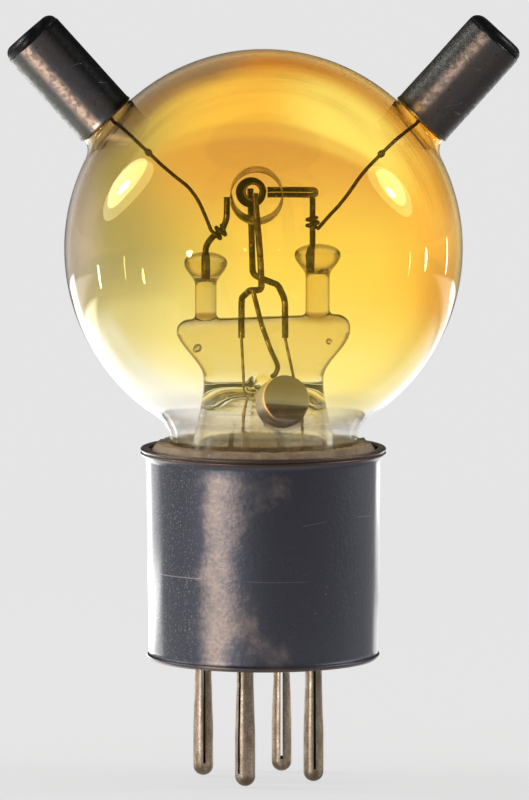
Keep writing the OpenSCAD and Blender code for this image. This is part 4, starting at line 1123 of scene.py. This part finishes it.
shell = {"top": 18.8, "foot": 18.3, "sheet": 0.5, "rim": 19.6, "rimHeight": 1.2, "height": 33.8}
rimZ, footZ = tube["rimZ"], tube["footZ"]
fold = shell["rimHeight"] / 4
outside = joined(
    line((shell["top"] - shell["sheet"], rimZ - 0.05), (shell["top"] - 0.2, rimZ)),
    arc(shell["rim"] - fold, rimZ - fold, fold, 90, -70, 10),
    arc(shell["rim"] - fold, rimZ - 3 * fold, fold, 70, -90, 10),
    line((shell["top"] + 0.25, rimZ - shell["rimHeight"])),
    line(*[(shell["foot"] + (shell["top"] - shell["foot"]) * f, footZ + shell["height"] * f)
           for f in np.linspace(0.955, 0.03, 60)]),
    arc(shell["foot"], footZ + 0.5, 0.35, 70, -60, 8),
    arc(shell["foot"] - 0.1, footZ + 0.12, 0.12, 0, -90, 4))
inside = line((shell["foot"] - 1.8, footZ), (shell["foot"] - 1.8, footZ + 0.5), (shell["foot"] - 0.5, footZ + 0.5),
              (shell["top"] - 0.5, rimZ - 1.3))
shape = lathe(joined(outside, inside), 224)
shape = shape + np.stack([shape[..., 0], shape[..., 1], 0 * shape[..., 0]], -1) / 18.5 * (
    0.02 * lumps(shape, 9.0, 31)[..., None] - 0.02)
newPiece("baseShell", [shape], baseMetal, ["base_shell"], 42, True)

# Cement between neck and shell, with a crumbled top

cement = {"low": 41.4, "top": 54.1, "inner": 15.03, "outer": 17.0, "shellSide": 18.1, "edge": 52.4, "grain": 0.06}
r = joined(np.linspace(cement["inner"], cement["outer"], 16),
           np.linspace(cement["outer"] + 0.1, cement["shellSide"], 8))
z = np.interp(r, [15.0, cement["outer"], 18.2], [cement["top"], cement["top"], cement["edge"]])
profile = joined(line((17.9, cement["low"]), (cement["inner"], cement["low"])), np.stack([r, z], -1),
                 line((cement["shellSide"], cement["edge"] - 0.5)))
shape = lathe(profile, 300)
grain = cement["grain"] * (lumps(shape, 0.9, 41) + 0.7 * lumps(shape, 0.45, 42))
grain = grain * ease((shape[..., 2] - cement["edge"] + 0.2) / 0.8) * (1 + 2.5 * ease((shape[..., 1] - 1) / 6))
away = np.concatenate([0 * shape[..., :2], 0.8 * grain[..., None]], -1)
shape = shape + away - np.concatenate([shape[..., :2] * ease(grain)[..., None] * 0.02, 0 * shape[..., 2:]], -1)
newPiece("cementRing", [shape], baseCement, ["base_cement"], 180, True)
print("caps, shell and cement made")


# Split pins


def pinPiece(name):  # a lathed pin with a box cut out for its slit
    x, y = pinPlaces[name]
    r, plate = pin["radius"], tube["plateZ"]
    profile = joined(
        arc(0, r, r, -90, 0, 14), line((r, 3), (r, 5), (r, pin["gripTo"]), (pin["root"], pin["gripTo"] + pin["taper"]),
        (pin["root"], plate - 0.5), (pin["collar"] - 0.1, plate - 0.5), (pin["collar"], plate - 0.4),
        (pin["collar"], plate), (pin["stud"], plate), (pin["stud"], pin["studTo"]), (0, pin["studTo"])))
    profile[0, 0] = 0
    shape = meshObject(name + "Pin", lathe(profile, 64, (x, y, 0)))
    a, half = math.radians(pinRings[name][2]), pin["slit"] / 2
    across, deep = np.array([math.cos(a), math.sin(a)]), np.array([-math.sin(a), math.cos(a)])
    corners = np.array([(-half, -3), (half, -3), (half, 3), (-half, 3)])
    flat = np.array([x, y]) + corners[:, :1] * across + corners[:, 1:] * deep
    rows = [np.concatenate([flat, np.full((4, 1), z)], 1) for z in (pin["slitFrom"], pin["slitTo"])]
    ends = [np.repeat(row.mean(0)[None], 4, 0) for row in rows]
    turnOutward(shape.data)
    cutAway(shape, np.stack([ends[0], *rows, ends[1]]))
    finishPiece(shape, pinMetal, [name + "_pin"], 40)


for name in pinPlaces:
    pinPiece(name)
print("pins made")

# CAD nodes that stay as they are get their finish here

kept = {"base_plate": baseInsulator, "pin_washers": wires["hardwareMetal"], "pin_nuts": wires["hardwareMetal"],
        "pin_solder": wires["solderMetal"], "left_cap_cement": capCement, "right_cap_cement": capCement}
for name, material in kept.items():
    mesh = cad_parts[name].data
    mesh.materials.clear()
    mesh.materials.append(material)


# Floor, world and lamps

stage = {
    "floorSize": 30.0,
    # wedges of glare at each side, which the ends of the base show: side, from Y, to distance
    "wedges": [(-1, 0.14, 0.62), (1, 0.30, 0.55)],
}
tones = {
    "pale": 0.783,  # the photograph's background
    "lit": 0.16,  # how much of the floor's tone takes the object's shadow
    "matte": 0.7,  # the table, for matte surfaces
    "front": 0.32,  # brightness of the room behind the camera and of the far wall, for matte surfaces
    "back": 0.9,
    "frontShine": 0.2,  # the same as metal and the glass's outside show it
    "sideShine": 0.35,
    "topShine": 0.05,
    "tableShine": 1.3,  # white table round the object, as metal shows it
    "tableGlare": 4.0,  # and close behind it
    "nearGlass": 0.9,  # table under the object, as its glass shows it
    "behindGlass": 1.2,  # brightness behind the object, as its glass shows it
    "besideGlass": 0.45,  # and at the sides and in front
    "ringGlass": 1.0,  # and high at the sides
}
glow = grey(tones["pale"] - tones["lit"])
tones = {name: grey(value) for name, value in tones.items()}

size = stage["floorSize"] / 2
corners = np.array([[(-size, -size, 0), (size, -size, 0)], [(-size, size, 0), (size, size, 0)]], float)
floorMesh = bpy.data.meshes.new("floor")
floorMesh.from_pydata(corners.reshape(-1, 3), [], [(0, 1, 3, 2)])
floor = bpy.data.objects.new("floor", floorMesh)
bpy.context.scene.collection.objects.link(floor)
floor.location.z = -0.0002
floorMaterial, shader, at = newMaterial("floorMaterial", Roughness=0.9)
tree = floorMaterial.node_tree
x, y, z = xyz(at)
distance = add("VectorMath", {0: at}, "Value", operation="LENGTH")
matte = add("BsdfDiffuse", {"Color": tones["lit"]}, tree=tree)
nearGlow = add("Emission", {"Color": glow}, tree=tree)
farGlow = add("Emission", {"Color": tones["pale"]}, tree=tree)
nearLook = add("AddShader", {0: matte, 1: nearGlow})
seen = mixed(span(distance, 0.12, 0.45, (1.0, 0.0)), farGlow, nearLook)
bright = add("Emission", {"Color": blend(span(y, 0.03, 0.2), tones["nearGlass"], tones["behindGlass"])})
# metal shows the table white behind it, at its left and close by, and dark in front
around = span(y - x * 0.8, -0.06, 0.06) * span(distance, 0.27, 0.19)
around = larger(around, span(y, 0.17, 0.25) * span(distance, 0.53, 0.47))
around = larger(around, span(distance, 0.13, 0.07, (0.0, 0.4)))
glare = span(y, 0.10, 0.13) * span(distance, 0.30, 0.26) * span(x, 0.04, -0.02)
for side, fromY, to in stage["wedges"]:
    out = x * side
    wedge = span(out - y * 0.38, -0.01, 0.02) * span(out - y * 0.75, 0.02, -0.02)
    glare = larger(glare, wedge * (span(y, fromY, fromY + 0.04) * span(distance, to, to - 0.06)))
table = blend(glare, blend(around, tones["frontShine"], tones["tableShine"]), tones["tableGlare"])
isGlossy = add("LightPath", {}, "Is Glossy Ray", tree)
plain = mixed(isGlossy, add("BsdfDiffuse", {"Color": tones["matte"]}, tree=tree), add("Emission", {"Color": table}))
through = mixed(isGlossy.beside("Is Transmission Ray"), plain, bright)
feed(tree.nodes["Material Output"], Surface=mixed(isGlossy.beside("Is Camera Ray"), through, seen))
floorMesh.materials.append(floorMaterial)

world = bpy.data.worlds.new("studio")
world.use_nodes = True
tree = world.node_tree
bpy.context.scene.world = world
x, y, z = xyz(add("TexCoord", {}, "Generated", tree))
shine = blend(span(y, -0.1, 0.4), tones["frontShine"], tones["sideShine"])
shine = blend(span(z + y * 0.4, 0.3, 0.5), shine, tones["topShine"])
ring = span(y, -0.05, 0.12) * span(y, 0.6, 0.45) * span(z, 0.1, 0.35)
inGlass = blend(ring, tones["besideGlass"], tones["ringGlass"])
inGlass = blend(span(y, 0.74, 0.92), inGlass, tones["behindGlass"])
room = blend(span(y, -0.5, 0.35), tones["front"], tones["back"])
isGlossy = add("LightPath", {}, "Is Glossy Ray", tree)
for kind, look in (("Glossy", shine), ("Transmission", inGlass), ("Camera", tones["pale"])):
    room = blend(isGlossy.beside(f"Is {kind} Ray"), room, look)
feed(tree.nodes["Background"], Color=room)

lamps = {
    # name: place, width, height, turn about its own axis in degrees, brightness as seen in a mirror
    "keyLamp": ((-0.88, -0.96, 0.1), 0.075, 0.075, 0, 400.0),
    "leftLamp": ((-1.022, 0.142, 0.527), 0.378, 0.689, -40, 3.2),
    "leftHalf": ((-0.997, 0.196, 0.559), 0.29, 0.509, -29, 6.5),
    "leftCore": ((-1.017, 0.177, 0.521), 0.08, 0.15, -35, 50.0),
    "rightLamp": ((1.019, -0.001, 0.558), 0.343, 0.589, 38, 3.2),
    "rightHalf": ((1.011, 0.021, 0.573), 0.244, 0.382, 31, 6.5),
    "rightCore": ((1.027, -0.04, 0.539), 0.07, 0.12, 35, 50.0),
    "frontLeft": ((-0.2, -1.1, 0.16), 0.03, 0.03, 0, 12.0),
    "frontRight": ((0.16, -1.1, 0.16), 0.02, 0.02, 0, 8.0),
    "slitOne": ((-0.306, -0.107, 0.0226), 0.009, 0.04, 0, 30.0),
    "slitTwo": ((-0.394, -0.039, 0.035), 0.004, 0.065, 0, 18.0),
    "slitThree": ((-0.31, 0.094, 0.0246), 0.011, 0.045, 0, 20.0),
    "slitFour": ((0.48, 0.13, 0.044), 0.018, 0.07, 0, 24.0),
    "slitFive": ((0.447, 0.004, 0.04), 0.004, 0.075, 0, 18.0),
    "slitSix": ((0.385, 0.317, 0.0455), 0.012, 0.08, 0, 14.0),
}
middle = Vector((0, 0, 0.085))
for name, (place, width, height, turn, brightness) in lamps.items():
    lamp = bpy.data.lights.new(name, "AREA")
    lamp.shape = "ELLIPSE"
    lamp.size, lamp.size_y = width, height
    lamp.energy = brightness * math.pi**2 / 4 * width * height
    holder = bpy.data.objects.new(name, lamp)
    holder.location = place
    aimed = (middle - Vector(place)).to_track_quat("-Z", "Y") @ Quaternion((0, 0, 1), math.radians(turn))
    holder.rotation_euler = aimed.to_euler()
    holder.visible_camera = False
    holder.visible_transmission = False
    bpy.context.scene.collection.objects.link(holder)

bpy.context.scene.view_settings.view_transform = "Standard"
print("stage and lamps made")
